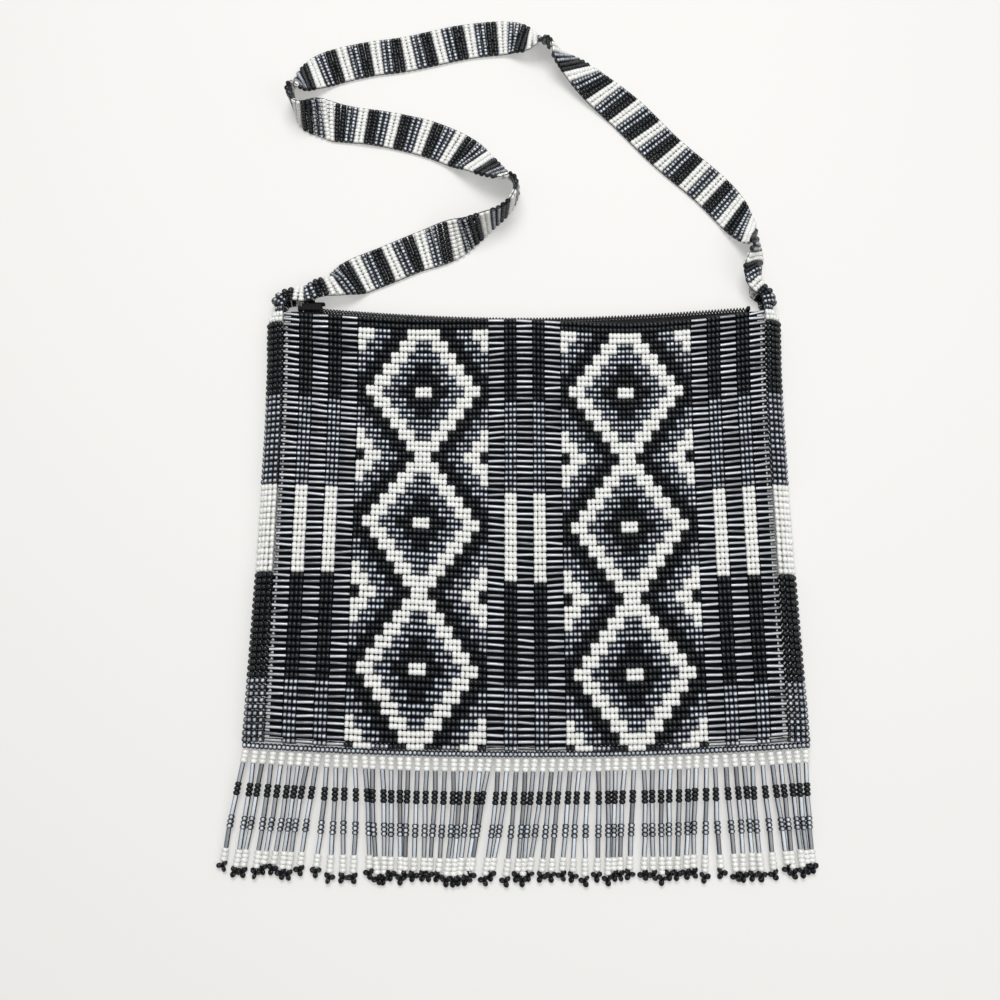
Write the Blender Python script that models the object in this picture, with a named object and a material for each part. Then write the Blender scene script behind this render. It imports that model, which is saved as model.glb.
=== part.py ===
"""A shoulder bag of loom-woven glass beads, lying on its back.

Two bead panels face each other, joined at the sides by a beaded band that curls round
as a gusset and at the bottom by one row of beads. The mouth has a coil zip, the inside
a thin lining, the bottom edge a fringe, and the band goes on past both top corners as
the carrying strap.

Frame: the front panel faces +Z, the strap lies towards +Y, the fringe towards -Y.
The origin is the middle of the back panel's middle bead row, on its underside.
"""

import math

import bmesh
import bpy
from mathutils import Vector

mm = 0.001

# Woven bead fabric: every bead row is one rib, every column one bead length
COLUMN_PITCH = 2.05 * mm
ROW_PITCH = 2.95 * mm
BEAD_DIAMETER = 2.9 * mm
ROW_GROOVE = 1.2 * mm
PANEL_COLUMNS = 118
PANEL_ROWS = 73
GAP = 0.3 * mm

# How the bag lies: its depth, its wider foot, its rows that rise to the side edges
BAG_DEPTH = 11.7 * mm
SIDE_FLARE = 2.1 * mm
ROW_RISE = 4.4 * mm
MOUTH_DRAW = 0.95 * mm
MOUTH_DRAW_LENGTH = 9.0 * mm
HEM_DRAW_LENGTH = 18.0 * mm
GUSSET_BULGE = 9.0 * mm
GUSSET_SPREAD = 2.2 * mm
GUSSET_OVERRUN = 3.4 * mm

# Lining
LINING_THICKNESS = 0.4 * mm
LINING_MOUTH_INSET = 6.0 * mm
LINING_HEM_INSET = 2.6 * mm
LINING_WIDTH_SHARE = 0.985

# Zip: two tapes, two coils, two end stops, a slider and its pull
TAPE_THICKNESS = 0.5 * mm
TAPE_DEPTH = 11.0 * mm
TAPE_SIDE_INSET = 1.6 * mm
COIL_WIDTH = 2.45 * mm
COIL_HEIGHT = 2.0 * mm
COIL_BEVEL = 0.5 * mm
STOP_LENGTH = 1.7 * mm
STOP_SIDE_INSET = 5.2 * mm
STOP_OVERHANG = 0.2 * mm
SLIDER_LENGTH = 10.0 * mm
SLIDER_WALL = 1.0 * mm
SLIDER_FLANGE = 0.6 * mm
BRIDGE_WIDTH = 1.4 * mm
BRIDGE_BAR = 1.0 * mm
BRIDGE_OPENING_LENGTH = 3.4 * mm
BRIDGE_OPENING_HEIGHT = 1.8 * mm
BRIDGE_OFFSET = 1.5 * mm
PULL_LENGTH = 8.0 * mm
PULL_ROD = 0.9 * mm
PULL_ARM = 0.7 * mm
PULL_WINDOW_LENGTH = 3.7 * mm

# Strap: one bead band, ten beads wide
STRAP_COLUMNS = 10
STRAP_END_RADIUS = 6.2 * mm
STRAP_END_OUTSET = 5.95 * mm

# Fringe: strands hang from the bottom row in bunches
FRINGE_BUNCHES = 9
STRANDS_IN_BUNCH = 7
STRAND_LENGTH = 57.0 * mm
STRAND_WIDTH = 2.6 * mm
STRAND_WAIST = 1.9 * mm
STRAND_THICKNESS = 2.2 * mm
FRINGE_CORD = 1.3 * mm
TIP_LOOP_WIDTH = 3.7 * mm
FRINGE_LEAN = 11.0 * mm
HEM_SIDE_INSET = 0.5 * mm

# Sizes that follow from the ones above
HALF_DEPTH = BAG_DEPTH / 2
HALF_BEAD = BEAD_DIAMETER / 2
PANEL_HALF_HEIGHT = PANEL_ROWS * ROW_PITCH / 2
TOP_HALF_WIDTH = PANEL_COLUMNS * COLUMN_PITCH / 2
STRAP_WIDTH = STRAP_COLUMNS * COLUMN_PITCH
HEM_DRAW = HALF_DEPTH - BEAD_DIAMETER - GAP
CORNER_Y = PANEL_HALF_HEIGHT + ROW_RISE
COIL_Y = CORNER_Y + GAP + SLIDER_WALL + GAP / 2
TAPE_HALF_LENGTH = TOP_HALF_WIDTH - TAPE_SIDE_INSET
STOP_OUTER = TOP_HALF_WIDTH - STOP_SIDE_INSET
COIL_HALF_LENGTH = STOP_OUTER - STOP_LENGTH - GAP
STRAP_SPAN = 2 * (TOP_HALF_WIDTH + STRAP_END_OUTSET)
STRAP_FOOT_Y = CORNER_Y + GUSSET_OVERRUN + GAP
STRAP_AXIS_Y = STRAP_FOOT_Y + STRAP_END_RADIUS


def smooth_share(distance, length):
    """1 at an edge, falling to 0 at this distance from it."""
    return max(0.0, 1 - max(0.0, distance) / length) ** 2


def draw_in(y):
    """How far a panel is drawn towards the other one, near the mouth and the hem."""
    mouth = MOUTH_DRAW * smooth_share(PANEL_HALF_HEIGHT - y, MOUTH_DRAW_LENGTH)
    hem = HEM_DRAW * smooth_share(PANEL_HALF_HEIGHT + y, HEM_DRAW_LENGTH)
    return mouth + hem


def down_share(y):
    """0 at the panel's top edge, 1 at its bottom edge."""
    return max(0.0, (PANEL_HALF_HEIGHT - y) / (2 * PANEL_HALF_HEIGHT))


def half_width(y):
    """Half the width of a panel at a row's height."""
    return TOP_HALF_WIDTH + SIDE_FLARE * down_share(y) ** 2


def gusset_bulge(y):
    """How far a gusset stands out from its panel's edge; it lies flatter lower down."""
    return GUSSET_BULGE + GUSSET_SPREAD * down_share(y) ** 2


def rise(across):
    """How far a row rises at this share of the half width."""
    return ROW_RISE * across * across


def material(name, colour, roughness, metallic=0.0):
    made = bpy.data.materials.new(name)
    made.use_nodes = True
    shader = made.node_tree.nodes["Principled BSDF"]
    shader.inputs["Base Color"].default_value = (*colour, 1.0)
    shader.inputs["Roughness"].default_value = roughness
    shader.inputs["Metallic"].default_value = metallic
    return made


def add_object(name, mesh, finish):
    made = bpy.data.objects.new(name, mesh)
    bpy.context.scene.collection.objects.link(made)
    mesh.materials.append(finish)
    return made


def mesh_from(form, name):
    """Turns a bmesh into a mesh whose faces point outwards."""
    bmesh.ops.recalc_face_normals(form, faces=form.faces)
    mesh = bpy.data.meshes.new(name)
    form.to_mesh(mesh)
    form.free()
    return mesh


def loft(name, rings, finish, cap_rows=None):
    """A closed solid through rings of points; cap_rows splits the two end caps."""
    form = bmesh.new()
    rows = [[form.verts.new(point) for point in ring] for ring in rings]
    count = len(rings[0])
    for first, second in zip(rows, rows[1:]):
        for i in range(count):
            j = (i + 1) % count
            form.faces.new((first[i], first[j], second[j], second[i]))
    for row in (rows[0], rows[-1]):
        for cap in cap_rows or [range(count)]:
            form.faces.new([row[i] for i in cap])
    bmesh.ops.triangulate(form, faces=form.faces)
    return add_object(name, mesh_from(form, name), finish)


def prism(name, outline, depth, place, finish):
    """An outline extruded by depth; place turns (u, v, w) into a point."""
    form = bmesh.new()
    near = [form.verts.new(place(u, v, -depth / 2)) for u, v in outline]
    far = [form.verts.new(place(u, v, depth / 2)) for u, v in outline]
    for i in range(len(outline)):
        j = (i + 1) % len(outline)
        form.faces.new((near[i], near[j], far[j], far[i]))
    form.faces.new(near)
    form.faces.new(far)
    bmesh.ops.triangulate(form, faces=form.faces)
    return add_object(name, mesh_from(form, name), finish)


def combine(base, tool, operation):
    """Joins tool to base or cuts it away, and keeps tool only as a guide."""
    step = base.modifiers.new("combine", "BOOLEAN")
    step.operation = operation
    step.solver = "EXACT"
    step.object = tool
    tool.hide_render = True
    tool.display_type = "WIRE"


# Bead panels

PANEL_ACROSS_SHARES = (-1.0, -0.5, 0.0, 0.5, 1.0)
RIB_FLAT_SHARE = 0.3
INNER_ROW_STEP = 4
INNER_LEVELS = [
    PANEL_HALF_HEIGHT - row * ROW_PITCH
    for row in (*range(0, PANEL_ROWS, INNER_ROW_STEP), PANEL_ROWS)
]


def inner_face(y):
    """How far a panel's inner face lies from the middle plane, straight between its levels."""
    for above, below in zip(INNER_LEVELS, INNER_LEVELS[1:]):
        if y >= below or below == INNER_LEVELS[-1]:
            share = (above - y) / (above - below)
            drawn = draw_in(above) + share * (draw_in(below) - draw_in(above))
            return HALF_DEPTH - BEAD_DIAMETER - drawn


def panel_profile():
    """The rib profile as (y, outward offset from the middle plane), and the cap's strips."""
    outer = []
    for row in range(PANEL_ROWS):
        middle = PANEL_HALF_HEIGHT - (row + 0.5) * ROW_PITCH
        upper_edge = middle + ROW_PITCH / 2
        groove = ROW_GROOVE if row else ROW_GROOVE / 2
        outer.append((upper_edge, HALF_DEPTH - draw_in(upper_edge) - groove))
        for side in (1, -1):
            outer.append((middle + side * RIB_FLAT_SHARE * ROW_PITCH, HALF_DEPTH - draw_in(middle)))
    outer.append((-PANEL_HALF_HEIGHT, HALF_DEPTH - draw_in(-PANEL_HALF_HEIGHT) - ROW_GROOVE / 2))
    inner = [(y, inner_face(y)) for y in reversed(INNER_LEVELS)]
    strips = []
    last = len(outer) + len(inner) - 1
    for i in range(len(INNER_LEVELS) - 1):
        above = 3 * i * INNER_ROW_STEP
        below = min(above + 3 * INNER_ROW_STEP, len(outer) - 1)
        strips.append(list(range(above, below + 1)) + [last - i - 1, last - i])
    return outer + inner, strips


def bead_panel(name, side, finish):
    """side is 1 for the front panel and -1 for the back one."""
    profile, strips = panel_profile()
    rings = []
    for across in PANEL_ACROSS_SHARES:
        rings.append(
            [
                Vector((across * half_width(y), y + rise(across), HALF_DEPTH + side * out))
                for y, out in profile
            ]
        )
    return loft(name, rings, finish, strips)


# Gussets: the band curls from the front panel's edge round to the back panel's, and
# runs a little past the corner

GUSSET_LEVELS = 12
GUSSET_ARC_STEPS = 8


def gusset(name, side, finish):
    rings = []
    top = PANEL_HALF_HEIGHT + GUSSET_OVERRUN
    for level in range(GUSSET_LEVELS + 1):
        y = top - (top + PANEL_HALF_HEIGHT) * level / GUSSET_LEVELS
        outer_half = HALF_DEPTH - draw_in(y)
        outer_bulge = gusset_bulge(y)
        edge = half_width(y) + GAP
        outer = []
        inner = []
        for step in range(GUSSET_ARC_STEPS + 1):
            turn = math.pi * (step / GUSSET_ARC_STEPS - 0.5)
            for line, bulge, half in (
                (outer, outer_bulge, outer_half),
                (inner, outer_bulge - BEAD_DIAMETER, outer_half - BEAD_DIAMETER),
            ):
                x = side * (edge + bulge * math.cos(turn))
                line.append(Vector((x, y + ROW_RISE, HALF_DEPTH + half * math.sin(turn))))
        rings.append(outer + inner[::-1])
    return loft(name, rings, finish)


# Lining: a thin cloth behind each panel


def lining(name, side, finish):
    top = PANEL_HALF_HEIGHT - LINING_MOUTH_INSET
    bottom = -PANEL_HALF_HEIGHT + LINING_HEM_INSET
    levels = [top] + [y for y in INNER_LEVELS if bottom < y < top] + [bottom]
    profile = [(y, inner_face(y) - GAP) for y in levels]
    profile += [(y, inner_face(y) - GAP - LINING_THICKNESS) for y in reversed(levels)]
    rings = []
    for across in PANEL_ACROSS_SHARES:
        rings.append(
            [
                Vector(
                    (
                        LINING_WIDTH_SHARE * across * half_width(y),
                        y + rise(across),
                        HALF_DEPTH + side * out,
                    )
                )
                for y, out in profile
            ]
        )
    return loft(name, rings, finish)


# Zip


def tape_outer():
    """How far a tape's outer face lies from the middle plane."""
    return HALF_DEPTH - BEAD_DIAMETER - MOUTH_DRAW - GAP


def zip_tape(name, side, finish):
    """A tape runs up inside a panel's edge and turns in to its coil."""
    top = COIL_Y - COIL_HEIGHT / 2 - GAP
    outer = tape_outer()
    rings = []
    for across in PANEL_ACROSS_SHARES:
        low = PANEL_HALF_HEIGHT + rise(across) - TAPE_DEPTH
        profile = (
            (low, outer - TAPE_THICKNESS),
            (low, outer),
            (top, outer),
            (top, GAP / 2),
            (top - TAPE_THICKNESS, GAP / 2),
            (top - TAPE_THICKNESS, outer - TAPE_THICKNESS),
        )
        rings.append(
            [Vector((across * TAPE_HALF_LENGTH, y, HALF_DEPTH + side * out)) for y, out in profile]
        )
    return loft(name, rings, finish)


def zip_coil(name, side, finish):
    low = COIL_Y - COIL_HEIGHT / 2
    high = COIL_Y + COIL_HEIGHT / 2
    near = GAP / 2
    far = near + COIL_WIDTH
    profile = (
        (low, near),
        (high, near),
        (high, far - COIL_BEVEL),
        (high - COIL_BEVEL, far),
        (low + COIL_BEVEL, far),
        (low, far - COIL_BEVEL),
    )
    rings = []
    for end in (-1, 1):
        rings.append(
            [Vector((end * COIL_HALF_LENGTH, y, HALF_DEPTH + side * out)) for y, out in profile]
        )
    return loft(name, rings, finish)


def rounded_box(name, low, high, bevel, finish):
    form = bmesh.new()
    bmesh.ops.create_cube(form, size=1.0)
    for vertex in form.verts:
        vertex.co = [low[k] if vertex.co[k] < 0 else high[k] for k in range(3)]
    bmesh.ops.bevel(
        form, geom=form.edges, offset=bevel, segments=1, affect="EDGES", profile=0.5
    )
    bmesh.ops.triangulate(form, faces=form.faces)
    return add_object(name, mesh_from(form, name), finish)


def zip_stop(name, side, finish):
    """A metal stop closes over the ends of both coils."""
    inner = COIL_HALF_LENGTH + GAP
    half = GAP / 2 + COIL_WIDTH + STOP_OVERHANG
    low = COIL_Y - COIL_HEIGHT / 2
    high = COIL_Y + COIL_HEIGHT / 2 + STOP_OVERHANG
    ends = sorted((side * inner, side * STOP_OUTER))
    return rounded_box(
        name,
        (ends[0], low, HALF_DEPTH - half),
        (ends[1], high, HALF_DEPTH + half),
        STOP_OVERHANG,
        finish,
    )


SLIDER_X = -COIL_HALF_LENGTH + SLIDER_LENGTH / 2
PIVOT_X = SLIDER_X - BRIDGE_OFFSET
SLIDER_PLATE_Y = COIL_Y + COIL_HEIGHT / 2 + GAP
PIVOT_Y = SLIDER_PLATE_Y + SLIDER_WALL + BRIDGE_OPENING_HEIGHT / 2
SLIDER_HALF_WIDTH = GAP / 2 + COIL_WIDTH + GAP + SLIDER_FLANGE


def zip_slider(finish):
    """A plate over both coils with a flange down each side, and a bridge for the pull."""
    plate_top = SLIDER_PLATE_Y + SLIDER_WALL
    flange_foot = COIL_Y - COIL_HEIGHT / 2
    inner = SLIDER_HALF_WIDTH - SLIDER_FLANGE
    channel = (
        (flange_foot, -SLIDER_HALF_WIDTH),
        (plate_top, -SLIDER_HALF_WIDTH),
        (plate_top, SLIDER_HALF_WIDTH),
        (flange_foot, SLIDER_HALF_WIDTH),
        (flange_foot, inner),
        (SLIDER_PLATE_Y, inner),
        (SLIDER_PLATE_Y, -inner),
        (flange_foot, -inner),
    )
    body = prism(
        "zip_slider",
        channel,
        SLIDER_LENGTH,
        lambda u, v, w: Vector((SLIDER_X + w, u, HALF_DEPTH + v)),
        finish,
    )
    half_opening = BRIDGE_OPENING_LENGTH / 2
    half_bridge = half_opening + BRIDGE_BAR
    opening_top = plate_top + BRIDGE_OPENING_HEIGHT
    root = plate_top - SLIDER_WALL / 2
    rings = []
    for side, inner_y, outer_y in (
        (-1, root, root),
        (-1, opening_top, opening_top + BRIDGE_BAR),
        (1, opening_top, opening_top + BRIDGE_BAR),
        (1, root, root),
    ):
        ring = []
        for half, y, z_side in (
            (half_opening, inner_y, -1),
            (half_bridge, outer_y, -1),
            (half_bridge, outer_y, 1),
            (half_opening, inner_y, 1),
        ):
            ring.append(
                Vector((PIVOT_X + side * half, y, HALF_DEPTH + z_side * BRIDGE_WIDTH / 2))
            )
        rings.append(ring)
    arch = loft("bridge_guide", rings, finish)
    combine(body, arch, "UNION")
    return body


def zip_pull(finish):
    """A flat tab with a window; its end rod passes under the slider's bridge."""
    half = BRIDGE_WIDTH / 2 + GAP + PULL_ARM
    rod = PULL_ROD / 2
    tip = PULL_LENGTH - PULL_ARM
    outline = ((-rod, -half), (tip, -half), (PULL_LENGTH, -half / 2), (PULL_LENGTH, half / 2))
    outline += ((tip, half), (-rod, half))
    tab = prism(
        "zip_pull",
        outline,
        PULL_ROD,
        lambda u, v, w: Vector((PIVOT_X + u, PIVOT_Y + w, HALF_DEPTH + v)),
        finish,
    )
    inner = half - PULL_ARM
    window = ((rod, -inner), (rod + PULL_WINDOW_LENGTH, -inner))
    window += ((rod + PULL_WINDOW_LENGTH, inner), (rod, inner))
    hole = prism(
        "window_guide",
        window,
        2 * PULL_ROD,
        lambda u, v, w: Vector((PIVOT_X + u, PIVOT_Y + w, HALF_DEPTH + v)),
        finish,
    )
    combine(tab, hole, "DIFFERENCE")
    return tab


# Bottom row of beads that closes the bag


def hem_point(across):
    """A point on the bottom row's axis; across runs from -1 to 1."""
    bottom = -PANEL_HALF_HEIGHT
    half = half_width(bottom) + gusset_bulge(bottom) - HEM_SIDE_INSET
    y = bottom - HALF_BEAD - GAP + rise(across)
    return Vector((across * half, y, HALF_DEPTH))


HEM_SIDES = 8


def hem_row(finish):
    rings = []
    for bunch in range(FRINGE_BUNCHES + 1):
        centre = hem_point(2 * bunch / FRINGE_BUNCHES - 1)
        ring = []
        for side in range(HEM_SIDES):
            turn = 2 * math.pi * (side + 0.5) / HEM_SIDES
            ring.append(
                centre + Vector((0, HALF_BEAD * math.cos(turn), HALF_BEAD * math.sin(turn)))
            )
        rings.append(ring)
    return loft("hem_row", rings, finish)


# Fringe: each bunch is a comb of strands on its own stretch of the bottom row

# Along a strand: place as a share of its length, and width as a share between
# the waist at a long bead (0) and the full width at round beads (1)
STRAND_FORM_SHARES = (
    (0.08, 1.0),
    (0.2, 0.0),
    (0.36, 1.0),
    (0.47, 0.0),
    (0.6, 1.0),
    (0.72, 0.0),
    (0.84, 1.0),
)
TIP_LOOP_SHARES = ((0.92, 0.45), (0.96, 1.0), (1.0, 0.4))
BUNCH_DRAW_SHARE = 0.1


def lean_at(across):
    """How far a strand's tip leans to the left, most at the bag's left end."""
    return -FRINGE_LEAN * max(0.0, -across) ** 3


def fringe_bunch(index, finish):
    first = hem_point(2 * index / FRINGE_BUNCHES - 1)
    last = hem_point(2 * (index + 1) / FRINGE_BUNCHES - 1)
    middle_share = (2 * index + 1) / FRINGE_BUNCHES - 1
    along = (last - first).normalized()
    outward = along.cross(Vector((0, 0, 1)))
    start = HALF_BEAD + GAP
    reach = start + FRINGE_CORD + STRAND_LENGTH
    slope = math.asin((HALF_DEPTH - STRAND_THICKNESS / 2) / reach)
    down = (outward * math.cos(slope) - Vector((0, 0, math.sin(slope)))).normalized()
    thick = along.cross(down).normalized()
    centre = (first + last) / 2
    span = (last - first).length
    pitch = span / STRANDS_IN_BUNCH
    half_span = span / 2 - GAP / 2
    form = bmesh.new()

    def point(u, v):
        return form.verts.new(centre + along * u + down * v - thick * STRAND_THICKNESS / 2)

    # The cord that carries the strands is a strip of two rows of points
    cord_places = [-half_span]
    for strand in range(STRANDS_IN_BUNCH):
        root = (strand + 0.5) * pitch - span / 2
        cord_places += [root - STRAND_WIDTH / 2, root + STRAND_WIDTH / 2]
    cord_places.append(half_span)
    upper = [point(u, start) for u in cord_places]
    lower = [point(u, start + FRINGE_CORD) for u in cord_places]
    for i in range(len(cord_places) - 1):
        form.faces.new((upper[i], lower[i], lower[i + 1], upper[i + 1]))
    levels = [
        (share, STRAND_WAIST + width * (STRAND_WIDTH - STRAND_WAIST))
        for share, width in STRAND_FORM_SHARES
    ]
    levels += [(share, width * TIP_LOOP_WIDTH) for share, width in TIP_LOOP_SHARES]
    for strand in range(STRANDS_IN_BUNCH):
        root = (strand + 0.5) * pitch - span / 2
        lean = lean_at(middle_share + 2 * root / span / FRINGE_BUNCHES)
        tip = root * (1 - BUNCH_DRAW_SHARE) + lean
        pair = (lower[2 * strand + 1], lower[2 * strand + 2])
        for share, width in levels:
            middle = root + (tip - root) * share
            v = start + FRINGE_CORD + share * STRAND_LENGTH
            next_pair = (point(middle - width / 2, v), point(middle + width / 2, v))
            form.faces.new((pair[0], next_pair[0], next_pair[1], pair[1]))
            pair = next_pair
    far_side = bmesh.ops.extrude_face_region(form, geom=form.faces[:])
    moved = [item for item in far_side["geom"] if isinstance(item, bmesh.types.BMVert)]
    bmesh.ops.translate(form, vec=thick * STRAND_THICKNESS, verts=moved)
    bmesh.ops.triangulate(form, faces=form.faces)
    name = f"fringe_bunch_{index + 1}"
    return add_object(name, mesh_from(form, name), finish)


# Strap: a ribbon that lies flat on its runs, stands on edge in its bends, and folds
# into the gusset's curl at both ends. Its left end stays with the bag, folded over the
# end of the zip; the rest turns about the line through both ends.

# Each station: x and y as shares of the span between the strap's two ends, measured
# from the line that it turns about; the turn of the ribbon about its path in degrees; the
# angle through which its outer half folds under; the share of the full width
LEFT_END_SHARES = (
    (-0.4886, -0.0074, 0, 180, 0.9),
    (-0.469, -0.0015, 0, 176, 0.92),
    (-0.4433, 0.0025, 0, 152, 0.97),
    (-0.4196, 0.0115, 0, 120, 1.0),
    (-0.388, 0.023, 0, 86, 1.0),
    (-0.3605, 0.0371, 0, 40, 1.0),
    (-0.336, 0.0493, 0, 16, 1.0),
)
LOWER_BAND_SHARES = (
    (-0.336, 0.0493, 0, 16, 1.0),
    (-0.276, 0.0751, 0, 0, 1.0),
    (-0.222, 0.0985, 2, 0, 1.0),
    (-0.185, 0.109, 12, 0, 1.0),
    (-0.143, 0.1175, 42, 0, 1.0),
    (-0.1198, 0.1245, 60, 0, 1.0),
    (-0.0993, 0.1355, 72, 0, 1.0),
    (-0.0768, 0.1498, 82, 0, 1.0),
    (-0.0548, 0.164, 92, 0, 1.0),
    (-0.0343, 0.1818, 95, 0, 1.0),
    (-0.0205, 0.2046, 93, 0, 1.0),
    (-0.0154, 0.2278, 88, 0, 1.0),
    (-0.0217, 0.2483, 74, 0, 1.0),
    (-0.0422, 0.2586, 54, 0, 1.0),
    (-0.065, 0.2739, 40, 0, 1.0),
    (-0.0926, 0.2956, 26, 0, 1.0),
    (-0.1221, 0.3204, 8, 0, 1.0),
    (-0.181, 0.3516, 0, 0, 1.0),
)
MIDDLE_BAND_SHARES = (
    (-0.181, 0.3516, 0, 0, 1.0),
    (-0.264, 0.3761, 0, 0, 1.0),
    (-0.352, 0.3901, 0, 0, 1.0),
    (-0.4023, 0.3935, -16, 0, 1.0),
    (-0.4271, 0.3915, -48, 0, 1.0),
    (-0.4519, 0.3905, -70, 0, 1.0),
    (-0.4701, 0.398, -84, 0, 1.0),
    (-0.4802, 0.4158, -92, 0, 1.0),
    (-0.4862, 0.4351, -95, 0, 1.0),
    (-0.4874, 0.4509, -84, 0, 1.0),
    (-0.4795, 0.4674, -64, 0, 1.0),
    (-0.4673, 0.4855, -42, 0, 1.0),
    (-0.4476, 0.5052, -20, 0, 1.0),
    (-0.4247, 0.5202, -4, 0, 1.0),
    (-0.394, 0.532, 0, 0, 1.0),
    (-0.325, 0.5491, 0, 0, 1.0),
    (-0.255, 0.5596, 0, 0, 1.0),
)
UPPER_BAND_SHARES = (
    (-0.255, 0.5596, 0, 0, 1.0),
    (-0.11, 0.5921, 0, 0, 1.0),
    (-0.022, 0.5971, -8, 0, 1.0),
    (0.0154, 0.5845, -42, 0, 1.0),
    (0.0374, 0.5771, -56, 0, 1.0),
    (0.0552, 0.5677, -66, 0, 1.0),
    (0.0715, 0.5527, -70, 0, 1.0),
    (0.0877, 0.5362, -64, 0, 1.0),
    (0.1084, 0.5196, -50, 0, 1.0),
    (0.134, 0.4966, -36, 0, 1.0),
    (0.1645, 0.4691, -18, 0, 1.0),
    (0.2135, 0.4255, 0, 0, 1.0),
    (0.303, 0.3271, 0, 0, 1.0),
    (0.388, 0.2461, 0, 0, 1.0),
)
RIGHT_END_SHARES = (
    (0.388, 0.2461, 0, 0, 1.0),
    (0.425, 0.2031, -6, 0, 1.0),
    (0.449, 0.1676, -24, 0, 1.0),
    (0.4655, 0.1391, -50, 0, 1.0),
    (0.474, 0.1131, -68, 0, 1.0),
    (0.4745, 0.0841, -66, 12, 1.0),
    (0.4705, 0.0546, -34, 74, 1.0),
    (0.4705, 0.0271, -10, 140, 0.98),
    (0.48, 0.0125, 0, 174, 0.95),
    (0.492, 0.0, 0, 180, 0.9),
)
STRAP_BANDS = (
    ("strap_left_end", LEFT_END_SHARES),
    ("strap_lower_band", LOWER_BAND_SHARES),
    ("strap_middle_band", MIDDLE_BAND_SHARES),
    ("strap_upper_band", UPPER_BAND_SHARES),
    ("strap_right_end", RIGHT_END_SHARES),
)
FOLD_RADIUS = HALF_DEPTH - HALF_BEAD
FOLD_STEPS = 4
END_TIP_SHARES = (0.98, 0.8, 0.45)


def ribbon_line(width, fold_angle):
    """The ribbon's middle line across its width as (sideways, up), inner edge first.

    The inner part stays level, the outer part turns down through the fold.
    """
    fold = math.radians(fold_angle)
    arc = FOLD_RADIUS * fold
    flat = (width - arc) / 2
    line = [(0.0, 0.0), (flat, 0.0)]
    for step in range(1, FOLD_STEPS + 1):
        turn = fold * step / FOLD_STEPS
        if fold:
            line.append((flat + FOLD_RADIUS * math.sin(turn), FOLD_RADIUS * (math.cos(turn) - 1)))
        else:
            line.append((flat + flat * step / (FOLD_STEPS + 1), 0.0))
    side, up = line[-1]
    rest = flat if fold else flat / (FOLD_STEPS + 1)
    line.append((side + rest * math.cos(fold), up - rest * math.sin(fold)))
    return line


def ribbon_outline(width, fold_angle, roll_angle, squeeze=1.0):
    """The ribbon's closed section, rolled about its path and set down on the ground."""
    line = [Vector(point) for point in ribbon_line(width, fold_angle)]
    upper = []
    lower = []
    for i, point in enumerate(line):
        before = line[max(i - 1, 0)]
        after = line[min(i + 1, len(line) - 1)]
        along = (after - before).normalized()
        normal = Vector((-along.y, along.x)) * HALF_BEAD
        upper.append(point + normal)
        lower.append(point - normal)
    outline = upper + lower[::-1]
    roll = math.radians(roll_angle)
    turned = []
    for p in outline:
        side = p.x * math.cos(roll) - p.y * math.sin(roll)
        height = p.x * math.sin(roll) + p.y * math.cos(roll)
        turned.append(Vector((side, height)))
    low = min(p.y for p in turned)
    high = max(p.y for p in turned)
    middle = (min(p.x for p in turned) + max(p.x for p in turned)) / 2
    centre = (high - low) / 2
    return [Vector((p.x - middle, centre + squeeze * (p.y - low - centre))) for p in turned]


def strap_stations(shares):
    """A band's plan points, each with its roll, fold and width."""
    stations = []
    for x_share, y_share, roll, fold, width in shares:
        point = Vector((x_share * STRAP_SPAN, STRAP_AXIS_Y + y_share * STRAP_SPAN, 0))
        stations.append((point, roll, fold, width * STRAP_WIDTH))
    return stations


def ribbon_ring(point, heading, section):
    left = Vector((-heading.y, heading.x, 0))
    return [point + left * p.x + Vector((0, 0, p.y)) for p in section]


def band_rings(shares, heading_at_start=None, heading_at_end=None):
    stations = strap_stations(shares)
    rings = []
    for i, (point, roll, fold, width) in enumerate(stations):
        before = stations[max(i - 1, 0)][0]
        after = stations[min(i + 1, len(stations) - 1)][0]
        heading = (after - before).normalized()
        if i == 0 and heading_at_start:
            heading = heading_at_start
        if i == len(stations) - 1 and heading_at_end:
            heading = heading_at_end
        rings.append(ribbon_ring(point, heading, ribbon_outline(width, fold, roll)))
    return rings


def end_rings(shares_row, heading):
    """The rounded tip of a band, which turns clear of the gusset."""
    (point, roll, fold, width) = strap_stations([shares_row])[0]
    rings = []
    for share in END_TIP_SHARES:
        height = min(1.0, math.sqrt(1 - share * share) * STRAP_END_RADIUS / HALF_DEPTH)
        place = point - heading * (share * STRAP_END_RADIUS)
        rings.append(ribbon_ring(place, heading, ribbon_outline(width, fold, roll, height)))
    return rings


def band_heading(shares):
    """The direction in which a band sets out from its first station."""
    first, second = (station[0] for station in strap_stations(shares[:2]))
    return (second - first).normalized()


def shifted(ring, step):
    return [point + step for point in ring]


def strap_bands(finish):
    """The left end, the three runs that go on from it, and the right end."""
    up = Vector((0, 1, 0))
    headings = [None] + [band_heading(shares) for _name, shares in STRAP_BANDS[1:]] + [-up]
    bands = [
        band_rings(shares, headings[i], headings[i + 1])
        for i, (_name, shares) in enumerate(STRAP_BANDS)
    ]
    for rings, heading in zip(bands[1:], headings[1:]):
        rings[0] = shifted(rings[0], heading * GAP)

    fold, width = LEFT_END_SHARES[0][3:]
    foot = Vector((-STRAP_SPAN / 2, STRAP_FOOT_Y, 0))
    bands[0].insert(0, ribbon_ring(foot, up, ribbon_outline(width * STRAP_WIDTH, fold, 0)))
    bands[-1] += end_rings(RIGHT_END_SHARES[-1], up)[::-1]
    for rings, (name, _shares) in zip(bands, STRAP_BANDS):
        loft(name, rings, finish)


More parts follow.
